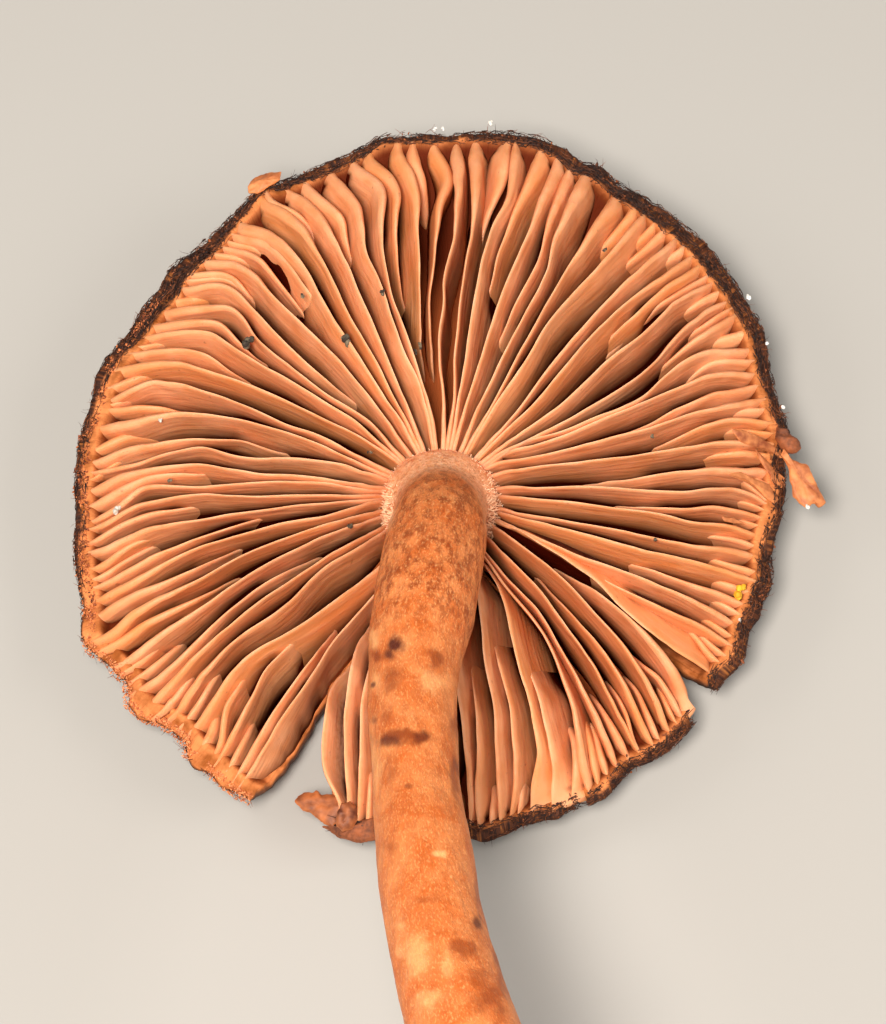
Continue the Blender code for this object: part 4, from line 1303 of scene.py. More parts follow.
@dataclass
class Gills:
    """A ring of gills: thin plates that stand on the cap's flesh and merge in its rim."""

    kind: GillKind
    stations: int
    levels: tuple[float, ...]
    thickness: float = 0.13
    sheet_room: float = 1.1
    low_end: float = 1.3
    root_depth: float = 0.3
    stem_start: float = 2.42
    stem_end: float = 2.4
    small_step: float = 2.1
    torn_gap: float = 9.0
    room_deg: tuple[float, float] = (1.3, 3.4)
    widest_share: float = 0.978
    rounds: int = 9

    def rows(self) -> tuple[np.ndarray, np.ndarray, np.ndarray, np.ndarray]:
        """Lists this ring's gills: paths on GRID, starts, room at the margin, and gaps on GRID.

        Small gills fill the wide gaps at the margin. Each runs between its two neighbours, at a
        share of the way from one to the other.
        """
        paths = np.array([path_on_grid(knots) for knots in GILL_PATHS])
        starts = np.array([knots[0] for knots in GILL_PATHS], float)
        chance = np.random.default_rng(SEED)
        outer = paths[:, column_at(320.0)] % 360
        order = np.argsort(outer)
        small, small_starts = [], []
        for here, after in zip(order, np.roll(order, -1)):
            gap = (outer[after] - outer[here]) % 360
            turn = (paths[after] - paths[here] + 180) % 360 - 180
            count = int(round(gap / self.small_step)) - 1 if gap < self.torn_gap else 0
            for number in range(count):
                share = (number + 1 + chance.normal(0, 0.1)) / (count + 1)
                small.append(paths[here] + turn * share)
                small_starts.append(chance.uniform(283, 318))
        small = np.array(small)
        azimuth = azimuth_of_seen(small[:, -12], 16.0, 5.5)
        kept = off_tears(azimuth, np.full(len(small), 15.2))
        kept &= (azimuth <= BARE_TOP[0]) | (azimuth >= BARE_TOP[1])
        paths = np.concatenate([paths, small[kept]])
        starts = np.append(starts, np.array(small_starts)[kept])
        outer = paths[:, column_at(335.0)] % 360
        order = np.argsort(outer)
        after = (np.roll(outer[order], -1) - outer[order]) % 360
        room = np.empty(len(outer))
        room[order] = np.clip((after + np.roll(after, 1)) / 2, *self.room_deg)
        ours = (starts <= STEM_REACH) == (self.kind is GillKind.LONG)
        return paths[ours], starts[ours], room[ours], self.gaps(paths, starts)[:, ours]

    def gaps(self, paths, starts) -> np.ndarray:
        """Measures how many degrees it is to the next gill, and to the one before, on GRID."""
        gaps = np.full((2, *paths.shape), 5.0)
        risen = np.where(starts <= STEM_REACH, 0, starts + RISE_PIXELS)
        for column, distance in enumerate(GRID):
            there = np.flatnonzero(risen <= distance)
            order = there[np.argsort(paths[there, column] % 360)]
            turn = paths[order, column]
            ahead = (np.roll(turn, -1) - turn) % 360
            gaps[0, order, column] = ahead
            gaps[1, order, column] = np.roll(ahead, 1)
        for _ in range(4):
            gaps[..., 1:-1] = (gaps[..., :-2] + 2 * gaps[..., 1:-1] + gaps[..., 2:]) / 4
        return gaps

    def seen_down(self, gaps, distance, azimuth, share, lean, depth) -> np.ndarray:
        """How far down its face each plate can be seen before the next gill's edge hides it.

        Args:
            gaps: Degrees to both neighbours on GRID.
            distance: Seen distance in pixels, by gill and station as all that follow.
            azimuth: Azimuths.
            share: Shares of the way to the margin.
            lean: How far the roots lie aside.
            depth: How far the edges stand over the flesh.

        Returns:
            Millimetres below the free edge.
        """
        aside = lean - TILT_SHIFT * depth * np.cos(azimuth)
        both = [[np.interp(d, GRID, row) for d, row in zip(distance, hand)] for hand in gaps]
        gap = np.where(aside > 0, *np.array(both))
        wide = np.radians(gap) * distance / PIXELS_PER_MM
        most = np.interp(share, (0.55, 0.75), (1.9, 1.0))
        seen = np.clip(wide / np.maximum(np.abs(aside), 0.1), 0.1, most) * depth
        return np.clip(seen, 0.1, np.interp(share, (0.7, 0.94), (9.0, 0.5)))

    def depth(self, share, azimuth, inner, own, tall, rise) -> np.ndarray:
        """How far the free edge stands over the flesh, by gill and station."""
        depth = curve_through(GILL_DEPTH, share) * (1 - merged(share, azimuth))
        depth = depth * (1 + 0.06 * noise(own, 4.0, 24)) + 0.04 * noise(own, 0.5, 25, 2)
        if self.kind is GillKind.LONG:
            return depth * (0.5 + 0.5 * np.sqrt(ramp(inner, 0, 0.6)))
        return depth * tall * np.clip(0.01 + inner / rise, 0, 1) ** 0.6

    def laid(self, paths, starts, chance):
        """Finds the free edges in the cap frame so that each is seen on its path.

        Each round turns every point about the stem by what its seen azimuth lacks, and moves a
        short gill's start along by what its seen distance lacks.

        Args:
            paths: Seen azimuths on GRID, by gill.
            starts: Seen distances of the inner ends in pixels.
            chance: The ring's random numbers.

        Returns:
            Azimuth, radius, share of the way to the margin and depth by gill and station, the
            inner radius by gill, the seen distance in pixels, and each gill's place in the noise.
        """
        count = len(paths)
        steps = np.linspace(0, 1, self.stations)
        steps = 0.55 * steps + 0.45 * ease(steps)
        tall = chance.uniform(0.82, 0.97, count)[:, None]
        rise = chance.uniform(3.4, 5.6, count)[:, None]
        middle = azimuth_of_seen(paths[:, column_at(GILL_MIDDLE)])
        azimuth = np.repeat(middle[:, None], self.stations, axis=1)
        start = np.full(count, self.stem_start)
        if self.kind is GillKind.SHORT:
            start = starts / PIXELS_PER_MM
        for _ in range(self.rounds):
            last = azimuth[:, -1]
            felt = np.minimum(round_mask(FELT_BAND, last), self.widest_share)
            end = margin_radius(last) * (felt + 0.008)
            radius = start[:, None] + (end - start)[:, None] * steps
            share = radius / margin_radius(azimuth)
            own = points_of(radius, np.arange(count)[:, None] * 7.3, 0)
            depth = self.depth(share, azimuth, radius - start[:, None], own, tall, rise)
            x, y = about_axis(azimuth, radius)
            seen = seen_place(points_of(x, y, flesh_top(x, y) + depth))
            distance = np.hypot(seen[..., 0], seen[..., 1]) * PIXELS_PER_MM
            found = np.degrees(np.arctan2(seen[..., 1], seen[..., 0]))
            wanted = np.array([np.interp(row, GRID, path) for row, path in zip(distance, paths)])
            azimuth = azimuth + np.radians((wanted - found + 180) % 360 - 180)
            if self.kind is GillKind.SHORT:
                inner = zip(radius - start[:, None], distance)
                risen = np.array([np.interp(self.low_end, row, seen_at) for row, seen_at in inner])
                start = np.maximum(start + (starts - risen) / PIXELS_PER_MM, 2.6)
        wave = 0.045 * noise(own, 1.3, 23, 2) + 0.06 * noise(own, 3.1, 22)
        azimuth = azimuth + wave * ramp(radius, 3.0, 6.0) / radius
        return azimuth % math.tau, radius, share, depth, start, distance, own

    def build(self):
        """Makes the plates.

        The root lies in the flesh under the free edge, moved aside by the gill's lean, and the
        plate between them bulges and is creased along its length.
        """
        chance = np.random.default_rng(SEED + 1)
        paths, starts, room, gaps = self.rows()
        count = len(paths)
        azimuth, radius, share, depth, start, distance, own = self.laid(paths, starts, chance)
        x, y = about_axis(azimuth, radius)
        edge = points_of(x, y, flesh_top(x, y) + depth)
        tangent = points_of(-np.sin(azimuth), np.cos(azimuth), 0)
        middle = paths[:, column_at(GILL_MIDDLE)] % 360
        read, further, paleness = np.array(BROAD_FACES).T
        found = np.abs(middle[:, None] - read) < 0.4
        whole_pale = found @ paleness
        lean = round_mask(GILL_LEAN, np.radians(middle)) + found @ further
        lean = lean[:, None] + chance.normal(0, 0.12, count)[:, None] + 0.2 * noise(own, 5.0, 32)
        lean = lean * ramp(depth, 0, 4.0) * np.clip((radius - self.stem_end) / 4.0, 0.1, 1)
        root = self.rooted(edge + tangent * lean[..., None], azimuth)
        level = np.array(self.levels)
        middle = root[:, :, None] + (edge - root)[:, :, None] * level[:, None]
        tall = ramp(depth, 0, 2.0)[..., None]
        creases = points_of(radius[..., None] / 3.5, level * depth[..., None] * 1.4, own[..., 1:2])
        bulge = 0.2 * np.sin(math.pi * level) * noise(own, 4.5, 33)[..., None]
        crease = 0.06 * noise(creases, 1.0, 34, 2) * np.clip(level * 3, 0, 1)
        middle = middle + tangent[:, :, None] * ((bulge + crease) * tall)[..., None]
        room = np.radians(np.where(whole_pale > 0, self.sheet_room, room))[:, None] * radius
        fold = round_mask(FOLD_WIDTH, azimuth) * room * (1 + 0.18 * noise(own, 2.2, 39, 2))
        half = self.half_thickness(level, share, radius - start[:, None], fold, depth)
        rings = sheet_rings(middle, half)
        both = np.concatenate([level, level[::-1]])
        below = (1 - both) * np.maximum(depth, 0.05)[..., None]
        bright = 0.75 + 0.35 * noise(own, 1.6, 36, 2) - 0.65 * ramp(share, 0.6, 0.9)
        mealy = np.exp(-(((radius - self.stem_end) / 0.5) ** 2))
        pale = np.exp(-((below / 0.07) ** 2)) * np.clip(bright, 0, 1)[..., None]
        pale = np.maximum(pale, whole_pale[:, None, None])
        shown = {
            "edge": np.clip(np.maximum(pale, mealy[..., None]), 0, 1),
            # How far down its face each point lies against how far can be seen; painted shade darkens
            # the rest.
            "painted_shade": below / self.seen_down(gaps, distance, azimuth, share, lean, depth)[..., None],
            "tint": chance.uniform(0, 1, count)[:, None, None],
            "grain": points_of(radius[..., None], below, own[..., 1:2]),
        }
        shape = Shape.from_rings(rings, shown)
        piece = shape.to_piece(f"{self.kind.value}_gills", GILL_FLESH, "cap_flesh")
        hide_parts("cap")

    def rooted(self, below: np.ndarray, azimuth: np.ndarray) -> np.ndarray:
        """Sinks the gills' roots in the flesh and keeps them off the splits.

        Args:
            below: Where each root would lie, by gill and station.
            azimuth: The free edge's azimuth.

        Returns:
            The roots.
        """
        root_azimuth = np.arctan2(below[..., 1], below[..., 0]) % math.tau
        radius = np.hypot(below[..., 0], below[..., 1])
        for tear in TEARS:
            root_azimuth = tear.kept_off(root_azimuth, azimuth, radius)
        x, y = about_axis(root_azimuth, radius)
        return points_of(x, y, flesh_top(x, y) - self.root_depth)

    def half_thickness(self, level, share, inner, fold, depth) -> np.ndarray:
        """Half the plate's thickness: thin inside, swollen to a round fold near the margin.

        Args:
            level: Shares of the way from root to free edge.
            share: Shares of the way to the margin, by gill and station.
            inner: Distances from the gill's inner end.
            fold: Half widths of its fold at the margin.
            depth: How far the free edge stands over the flesh.

        Returns:
            Half thicknesses by gill, station and level.
        """
        thin = self.thickness / 2 * np.interp(share, (0.13, 0.25, 0.5), (2.0, 1.1, 1.0))
        half = thin + (fold - thin) * ease(ramp(share, 0.6, 0.93))
        half = half * (1 - 0.4 * ramp(share, 0.93, 0.97))
        half = half * np.sqrt(np.clip(inner / 0.5, 0.04, 1))
        round_part = np.clip(half / np.maximum(depth, 0.05), 0.05, 0.75)[..., None]
        over = np.clip((level - 1 + round_part) / round_part, 0, 0.985)
        taper = np.interp(level, (0, 0.5, 1), (1.6, 1.15, 1.0))
        return half[..., None] * taper * np.sqrt(1 - over**2)


@dataclass
class Stem:
    """The stem: a bent round tube with a mealy collar where it leaves the cap."""

    stations: int = 380
    around: int = 190
    ridge: float = 0.035
    lump: float = 0.09
    pimple: float = 0.014
    skin_radius: float = 2.3

    def path(self) -> tuple[np.ndarray, np.ndarray, np.ndarray]:
        """Gives points down the stem's middle, its radius there and the distance along it.

        It leaves the cap at one lean, which eases over the bend's length to the other.
        """
        length = STEM_RADII[-1][0]
        along = np.linspace(0.0, length, self.stations)
        fine = np.linspace(0.0, length, 3000)
        bent = ease(ramp(fine, 0, STEM_BEND_LENGTH))
        lean = np.radians(STEM_LEAN_DEG[0] + (STEM_LEAN_DEG[1] - STEM_LEAN_DEG[0]) * bent)
        step = fine[1] - fine[0]
        y = np.interp(along, fine, -np.cumsum(np.sin(lean)) * step)
        z = np.interp(along, fine, STEM_START + np.cumsum(np.cos(lean)) * step)
        points = np.stack([curve_through(STEM_STRAY, along), y, z], axis=1)
        return points, curve_through(STEM_RADII, along), along

    def build(self):
        """Makes the tube: round rings square to the path, swollen by ridges and soft lumps."""
        points, radius, along = self.path()
        tangent = unit(np.gradient(points, axis=0))
        spoke = spokes(tangent, unit(np.cross(tangent, (-1.0, 0.0, 0.0))), self.around)
        angle = np.arange(self.around) / self.around * math.tau
        grain = points_of(*about_axis(angle, self.skin_radius), along[:, None])
        drawn = grain * (1.0, 1.0, 0.22)
        felt = np.interp(along, (0, 1.2, 3, 16, 19, 48), (0.1, 0.5, 0.85, 0.85, 0.25, 0.15))[:, None]
        swell = self.ridge * noise(drawn, 0.4, 41, 2) * (0.5 + felt)
        swell = swell + self.lump * noise(grain * (1, 1, 0.6), 1.7, 42, 2)
        swell = swell + self.pimple * noise(grain * (1, 1, 0.5), 0.16, 46, 2)
        collar = np.exp(-(((along - 0.9) / 0.9) ** 2))[:, None]
        swell = swell + collar * (0.03 + 0.07 * noise(grain, 0.22, 43, 2))
        swell = swell * ramp(along[-1] - along, 0, 1.5)[:, None]
        surface = points[:, None] + spoke * (radius[:, None] + swell)[..., None]
        view = math.radians(VIEW_TILT_DEG)
        facing = spoke @ np.array([0, -math.sin(view), math.cos(view)]) > 0
        picture = seen_place(surface) * (1, -1) * PIXELS_PER_MM + AXIS_PIXEL
        bloom = self.bloom(picture, grain, along[:, None])
        marks = self.marks(picture, grain)
        layers = {kind: strength * facing for kind, strength in marks.items()}
        layers.update({"bloom": bloom, "felt": felt, "grain": grain[None]})
        piece = Shape.from_rings(surface[None], layers).to_piece("stem_body", STEM_FLESH, "stem_flesh")
        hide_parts("stem")
        self.meal(points, radius)

    def bloom(self, picture, grain, along) -> np.ndarray:
        """How mealy the skin is: wholly so in a collar at the top, and round the bare oval below.

        Args:
            picture: Where each point is seen, in pixels.
            grain: Its place along the felt.
            along: Its distance along the stem.

        Returns:
            Shares from 0 to 1.
        """
        across, down = np.moveaxis((picture - BARE_OVAL[0]) / BARE_OVAL[1], -1, 0)
        rounded = np.hypot(across, np.minimum(down, 0))
        bloom = ramp(rounded, 0.87, 1.0) * ramp(down, 0.25, 0) * ramp(along, 11.0, 8.0)
        bloom = np.maximum(bloom, ramp(along, 3.4, 1.8))
        return np.clip(bloom * (1 + 0.9 * noise(grain, 0.3, 44, 3)), 0, 1)

    def marks(self, picture, grain) -> dict[str, np.ndarray]:
        """Gives how strong each kind of mark is at each point, with ragged borders."""
        ragged = 0.9 * noise(grain, 0.6, 47, 4)
        marks = {}
        for kind, rows in STEM_MARKS.items():
            x, y, wide, tall, strength = np.array(rows)[:, :, None, None].swapaxes(0, 1)
            away = np.hypot((picture[..., 0] - x) / wide, (picture[..., 1] - y) / tall)
            marks[kind] = (ramp(away + ragged, 1.35, 0.45) ** 1.3 * strength).max(axis=0)
        return marks

    def meal(self, points, radius, count: int = 2600):
        """Sets tufts of pale meal round the stem's top, where the gills meet it.

        Args:
            points: The stem's middle, by station.
            radius: Its radius there.
            count: Tufts.
        """
        chance = np.random.default_rng(SEED + 6)
        station = (chance.uniform(0.2, 2.6, count) / STEM_RADII[-1][0] * self.stations).astype(int)
        angle = chance.uniform(0, math.tau, count)
        out = points_of(*about_axis(angle, 1.0), 0.1)
        base = points[station] + out * (radius[station] - 0.02)[:, None]
        way = unit(out + chance.normal(0, 0.6, (count, 3)) + (0, 0, 0.4))
        length = chance.uniform(0.1, 0.34, count)
        step = np.linspace(0, 1, 4)
        path = base[:, None] + way[:, None] * (length[:, None] * step)[..., None]
        width = chance.uniform(0.02, 0.05, count)[:, None] * (1 - 0.5 * step)
        rings = tube_rings(path, width, 4)
        tint = chance.uniform(0.2, 1, count)[:, None, None]
        Shape.from_rings(rings, {"tint": tint}).to_piece("stem_meal", MEAL, "stem_flesh")


@dataclass
class Felt:
    """Fibres of the skin: a mat of them wraps the rim, and a few stand out at the margin."""

    stations: int = 4
    sides: int = 3
    most_out: float = 0.14

    def fibres(self, name: str, path: np.ndarray, width: np.ndarray, tint: np.ndarray):
        """Makes one piece of tapering tubes along these paths."""
        step = np.linspace(0, 1, path.shape[1])
        radius = width[:, None] * (1 - 0.7 * step**2)
        shape = Shape.from_rings(tube_rings(path, radius, self.sides), {"tint": tint[:, None, None]})
        shape.to_piece(name, SKIN_FIBRE, "cap_flesh")

    def wandered(self, path: np.ndarray, size: float, by: float) -> np.ndarray:
        """Bends paths by smooth chance."""
        return path + points_of(*(noise(path, size, seed) for seed in (51, 52, 53))) * by

    def rim(self, count: int = 8000):
        """Mats the rim with short fibres, where the felt wraps over it."""
        chance = np.random.default_rng(SEED + 2)
        azimuth = chance.uniform(0, math.tau, count * 5)
        wanted = (1.004 - round_mask(FELT_BAND, azimuth)) / 0.045
        azimuth = azimuth[chance.uniform(0, 1, len(azimuth)) < wanted][:count]
        azimuth = azimuth[off_tears(azimuth, margin_radius(azimuth) * 0.985)]
        count = len(azimuth)
        band = felt_edge(azimuth)
        share = band - 0.008 + (1.016 - band) * chance.uniform(0, 1, count) ** 0.8
        length = chance.uniform(0.15, 0.75, count)
        slant = chance.normal(0, 1.0, count) + chance.choice([-0.9, 0.9], count)
        step = np.linspace(0, 1, self.stations)
        turn = azimuth[:, None] + (np.sin(slant) * length)[:, None] * step / CAP_RADIUS
        margin = margin_radius(turn)
        radius = margin * share[:, None] + (np.cos(slant) * length)[:, None] * step * 0.35
        radius = np.minimum(radius, margin + self.most_out)
        x, y = about_axis(turn, radius)
        out = ramp(radius / margin, 0.98, 1.01)
        lift = chance.uniform(0.0, 0.13, count)[:, None]
        thick = flesh_over(radius / margin, turn)
        height = crown_height(x, y) + thick * (1 - out * chance.uniform(0, 0.9, count)[:, None])
        path = points_of(x, y, height + 0.12 + lift)
        rusty = np.clip(1.5 * noise(path[:, 0], 0.9, 54, 2), 0, 1)
        tint = chance.uniform(0, 1, count) ** 2 * (0.5 + rusty)
        width = chance.uniform(0.014, 0.032, count)
        self.fibres("rim_felt", self.wandered(path, 0.35, 0.09), width, tint)

    def loose(self, count: int = 330):
        """Lets some fibres stand out beyond the margin."""
        chance = np.random.default_rng(SEED + 3)
        azimuth = chance.uniform(0, math.tau, count)
        azimuth = azimuth[off_tears(azimuth, margin_radius(azimuth) * 0.985)]
        count = len(azimuth)
        length = chance.uniform(0.3, 0.9, count)
        slant = chance.normal(0, 1.0, count)
        step = np.linspace(0, 1, self.stations)
        turn = azimuth[:, None] + (np.sin(slant) * length)[:, None] * step / CAP_RADIUS
        out = 0.1 + (np.abs(np.cos(slant)) * length)[:, None] * step * 0.55
        radius = margin_radius(turn) + np.minimum(out - 0.1, 0.36)
        x, y = about_axis(turn, radius)
        lift = chance.uniform(0.1, 0.6, count)[:, None]
        lift = lift + step**2 * chance.normal(0, 0.3, count)[:, None]
        path = points_of(x, y, crown_height(x, y) + lift)
        tint = chance.uniform(0, 1, count)
        width = chance.uniform(0.01, 0.02, count)
        self.fibres("margin_fringe", self.wandered(path, 0.4, 0.12), width, tint)

    def crown(self, count: int = 3600):
        """Lays long fibres outwards over the crown's skin, half sunk in it."""
        chance = np.random.default_rng(SEED + 4)
        azimuth = chance.uniform(0, math.tau, count)
        start = 17.2 * np.sqrt(chance.uniform(0.002, 1, count))
        length = chance.uniform(1.2, 4.2, count)
        step = np.linspace(0, 1, self.stations)
        radius = start[:, None] + length[:, None] * step
        radius = np.minimum(radius, margin_radius(azimuth)[:, None] * 0.995)
        stray = chance.normal(0, 0.05, count)[:, None] * length[:, None] * step
        turn = azimuth[:, None] + stray / radius
        x, y = about_axis(turn, radius)
        arch = 0.03 - 0.07 * np.sin(math.pi * step) * chance.uniform(0.3, 1, count)[:, None]
        path = points_of(x, y, crown_height(x, y) + arch)
        path = path[off_tears(azimuth, np.minimum(start + length, 17.0))]
        count = len(path)
        tint = chance.uniform(0, 1, count) ** 1.5
        self.fibres("crown_fibrils", path, chance.uniform(0.03, 0.07, count), tint)

    def build(self):
        """Makes the rim's mat, the loose fibres and the crown's fibrils."""
        self.rim()
        self.loose()
        self.crown()


@dataclass(frozen=True)
class Flake:
    """A thin torn piece of flesh, by the outline that is seen: x and y in pixels by turns."""

    outline: tuple
    height: float | None
    lift: float = 0.0
    slope: tuple[float, float] = (0.0, 0.0)
    thickness: float = 0.3
    ripple: float = 0.12
    drawn_deg: float = 0.0

    def shape(self, seed: int, around: int = 96, rows: int = 9) -> Shape:
        """Makes a two-faced sheet with a round rim inside its outline.

        The outline is sampled evenly and made rough by chance, and rings of its shape shrink to
        its middle on both faces. Each point stands at the flake's height, or on the gills where
        it has none, plus slope and ripples.

        Args:
            seed: Chooses the ripples.
            around: Points in a ring.
            rows: Rings on one face.

        Returns:
            The closed shape.
        """
        corners = np.array(self.outline, float).reshape(-1, 2)
        closed = np.concatenate([corners, corners[:1]])
        run = np.append(0, np.cumsum(np.hypot(*np.diff(closed, axis=0).T)))
        at = np.arange(around) / around * run[-1]
        ring = points_of(np.interp(at, run, closed[:, 0]), np.interp(at, run, closed[:, 1]))
        ring = (ring * 2 + np.roll(ring, 1, axis=0) + np.roll(ring, -1, axis=0)) / 4
        centre = ring.mean(axis=0)
        spoke = ring - centre
        wobble = noise(points_of(ring[:, 0], ring[:, 1], seed), 5.0, 61, 3)
        spoke = spoke * (1 + 2.0 * wobble / (6 + np.hypot(*spoke.T)))[:, None]
        part = np.sin(np.linspace(0.02, 0.5, rows) * math.pi)
        share = np.concatenate([part, part[-2::-1]])
        side = np.concatenate([np.ones(rows), -np.ones(rows - 1)])
        pixels = centre + spoke * share[:, None, None]
        height = self.height
        if height is not None:
            away = seen_of_pixels(pixels) - seen_of_pixels(centre)
            height = height + away @ np.array(self.slope)
        place = placed_at(pixels, height, self.lift)
        flat = place * (1, 1, 0) + (0, 0, seed * 1.7)
        way = math.radians(self.drawn_deg)
        along = flat[..., 0] * math.cos(way) + flat[..., 1] * math.sin(way)
        across = flat[..., 1] * math.cos(way) - flat[..., 0] * math.sin(way)
        folds = noise(points_of(along / 4, across, flat[..., 2]), 0.28, 67, 3)
        bump = self.ripple * (noise(flat, 0.9, 62, 3) + 0.5 * folds)
        thick = self.thickness / 2 * np.sqrt(np.clip(1 - share**3, 0, 1))[:, None]
        place[..., 2] += bump + thick * side[:, None] * (1 + 0.3 * noise(flat, 0.3, 63))
        tint = np.clip(0.5 + 0.6 * noise(flat, 0.6, 64, 2) + 0.3 * (share[:, None] > 0.93), 0, 1)
        return Shape.from_rings(place[None], {"tint": tint})


def lumps(places: np.ndarray, sizes: np.ndarray, seed: int, rows: int = 9, around: int = 12) -> Shape:
    """Makes rough lumps: balls drawn out by their sizes, dented by noise and turned by chance.

    Args:
        places: Their middles.
        sizes: Their three half widths.
        seed: Chooses dents and turns.
        rows: Rings in a lump.
        around: Points in a ring.

    Returns:
        All of them in one shape.
    """
    chance = np.random.default_rng(seed)
    polar = np.linspace(0.08, math.pi - 0.08, rows)[:, None]
    angle = np.arange(around) / around * math.tau
    ball = points_of(*about_axis(angle, np.sin(polar)), np.cos(polar))
    count = len(places)
    own = chance.uniform(0, 90, (count, 3))[:, None, None]
    dent = 1 + 0.55 * noise(ball + own, 0.9, 65, 3)
    frame, _ = np.linalg.qr(chance.normal(0, 1, (count, 3, 3)))
    drawn = ball * dent[..., None] * sizes[:, None, None]
    points = np.einsum("nraj,nij->nrai", drawn, frame) + places[:, None, None]
    return Shape.from_rings(points, {"tint": chance.uniform(0, 1, count)[:, None, None]})


@dataclass(frozen=True)
class Grain:
    """A small heap of lumps, by the place and size that are seen in pixels."""

    at: tuple[float, float]
    size: tuple[float, float]
    height: float | None = None
    lift: float = 0.05
    parts: int = 5

    def shape(self, seed: int) -> Shape:
        """Makes the heap, standing on the gills or at its height."""
        middle = placed_at(self.at, self.height, self.lift)
        wide, tall = np.array(self.size) / 2 / PIXELS_PER_MM
        reach = np.array([wide, tall, min(wide, tall)])
        chance = np.random.default_rng(seed + 70)
        spot = chance.uniform(-0.55, 0.55, (self.parts, 3)) * (self.parts > 1)
        size = chance.uniform(0.45, 0.75, (self.parts, 3)) + 0.3 * (self.parts == 1)
        return lumps(middle + spot * reach, size * reach.min(), seed, 10, 14)


@dataclass
class Scraps:
    """What is torn off or stuck on: flaps of the margin, crumbs, grains of soil and droplets."""

    def gathered(self, name: str, parts: tuple, first_seed: int, finish: Finish):
        """Makes one piece of flakes or grains, each with a seed of its own."""
        shapes = [part.shape(first_seed + number) for number, part in enumerate(parts)]
        reduce(Shape.joined, shapes).to_piece(name, finish, "cap_flesh")

    def crumbs(self, name: str, between_deg, count: int, size, inwards: float, finish: Finish):
        """Roughens a stretch of the margin with crumbs and shreds that hang on it.

        Args:
            name: The piece's name.
            between_deg: The azimuths it runs between.
            count: Crumbs.
            size: Their least and greatest half length.
            inwards: How far inside the margin they reach.
            finish: What they are made of.
        """
        chance = np.random.default_rng(SEED + 5)
        azimuth = np.radians(chance.uniform(*between_deg, count))
        ragged = noise(points_of(azimuth * CAP_RADIUS, 0, 0), 0.55, 68, 2)
        margin = margin_radius(azimuth)
        out = chance.uniform(-inwards, 0.12, count) + 0.18 * ragged
        radius = margin + np.minimum(out, 0.25)
        kept = off_tears(azimuth, radius - 0.3)
        x, y = about_axis(azimuth, radius)
        over = flesh_over(np.minimum(radius / margin, 1.0), azimuth)
        low = np.where(radius > margin - 0.1, chance.uniform(0.3, 1.0, count), 1.0)
        places = points_of(x, y, crown_height(x, y) + over * low + 0.1)
        half = chance.uniform(*size, count)[:, None] * (1.0, 0.55, 0.3)
        half = half * chance.uniform(0.7, 1.3, (count, 3))
        lumps(places[kept], half[kept], SEED + 8, 6, 8).to_piece(name, finish, "cap_flesh")

    def build(self):
        """Makes the flakes, then the crumbs, then the grains."""
        self.gathered("torn_flakes", FLAKES, 1, TORN_FLESH)
        self.gathered("tip_flakes", TIP_FLAKES, 1, WEATHERED_FLESH)
        self.gathered("dark_flakes", DARK_FLAKES, 1, MATTED_SKIN)
        self.crumbs("torn_crumbs", (198, 240), 1500, (0.02, 0.085), 0.4, CRUMBLED_FLESH)
        self.crumbs("rust_crumbs", (138, 202), 1100, (0.03, 0.12), 0.6, RUSTY_FLESH)
        self.crumbs("rim_crumbs", (-120, 198), 1900, (0.03, 0.12), 0.55, MATTED_SKIN)
        self.gathered("soil_grains", SOIL_GRAINS, 0, SOIL)
        self.gathered("pale_grains", PALE_GRAINS, 0, PALE_GRIT)
        self.gathered("yellow_speck", YELLOW_SPECKS, 0, POLLEN)
        self.gathered("droplets", DROPLETS, 0, WATER_PAINTED_WHITE_GLINT)


FLAKES = (
    # Right flap.
    Flake((783, 448, 787, 453, 791, 459, 799, 463, 807, 464, 810, 470, 814, 480, 820, 491, 826, 502,
           824, 506, 819, 508, 814, 503, 809, 508, 801, 505, 793, 497, 790, 482, 788, 466, 781, 455),
          5.0, slope=(-0.15, 0.1), thickness=0.5, ripple=0.28, drawn_deg=-65),
    # Fragment above.
    Flake((730, 428, 733, 433, 740, 442, 759, 448, 772, 453, 781, 459, 783, 452, 772, 445, 757, 436,
           742, 430),
          None, lift=0.12, drawn_deg=-30),
    # Fragment middle.
    Flake((755, 449, 759, 459, 765, 469, 770, 476, 771, 481, 784, 492, 785, 478, 777, 471, 766, 460),
          None, lift=0.1, drawn_deg=-50),
    # Fragment below.
    Flake((728, 475, 742, 476, 755, 487, 766, 498, 775, 504, 779, 500, 770, 484, 755, 479, 741, 472),
          None, lift=0.1, drawn_deg=-30),
    # Sliver.
    Flake((722, 517, 734, 518, 744, 523, 735, 523, 724, 521),
          None, 0.1, (0, 0), 0.15),
    # Upper left flap.
    Flake((247, 186, 254, 177, 266, 172, 281, 172, 280, 180, 270, 187, 258, 193, 249, 192),
          5.1, slope=(0.1, -0.1), thickness=0.4, ripple=0.2),
)
TIP_FLAKES = (
    # Torn tip.
    Flake((294, 802, 297, 798, 303, 793, 318, 791, 321, 795, 332, 795, 341, 799, 347, 808, 340, 818,
           333, 827, 320, 822, 311, 813, 303, 811),
          4.8, slope=(0.2, -0.1), thickness=0.45, ripple=0.15),
    # Curled lobe.
    Flake((337, 813, 342, 804, 350, 801, 357, 808, 358, 820, 352, 830, 343, 833, 336, 827),
          5.6, slope=(-0.3, 0.3), thickness=0.7, ripple=0.25, drawn_deg=60),
)
DARK_FLAKES = (
    # Margin knob.
    Flake((776, 428, 786, 430, 793, 437, 801, 443, 802, 448, 797, 453, 788, 452, 780, 447, 775, 438),
          5.0, thickness=0.8, ripple=0.3),
    # Matted margin left of the stem.
    Flake((322, 826, 334, 827, 345, 833, 362, 822, 376, 820, 376, 841, 357, 844, 340, 838),
          4.9, thickness=0.8, ripple=0.35),
)
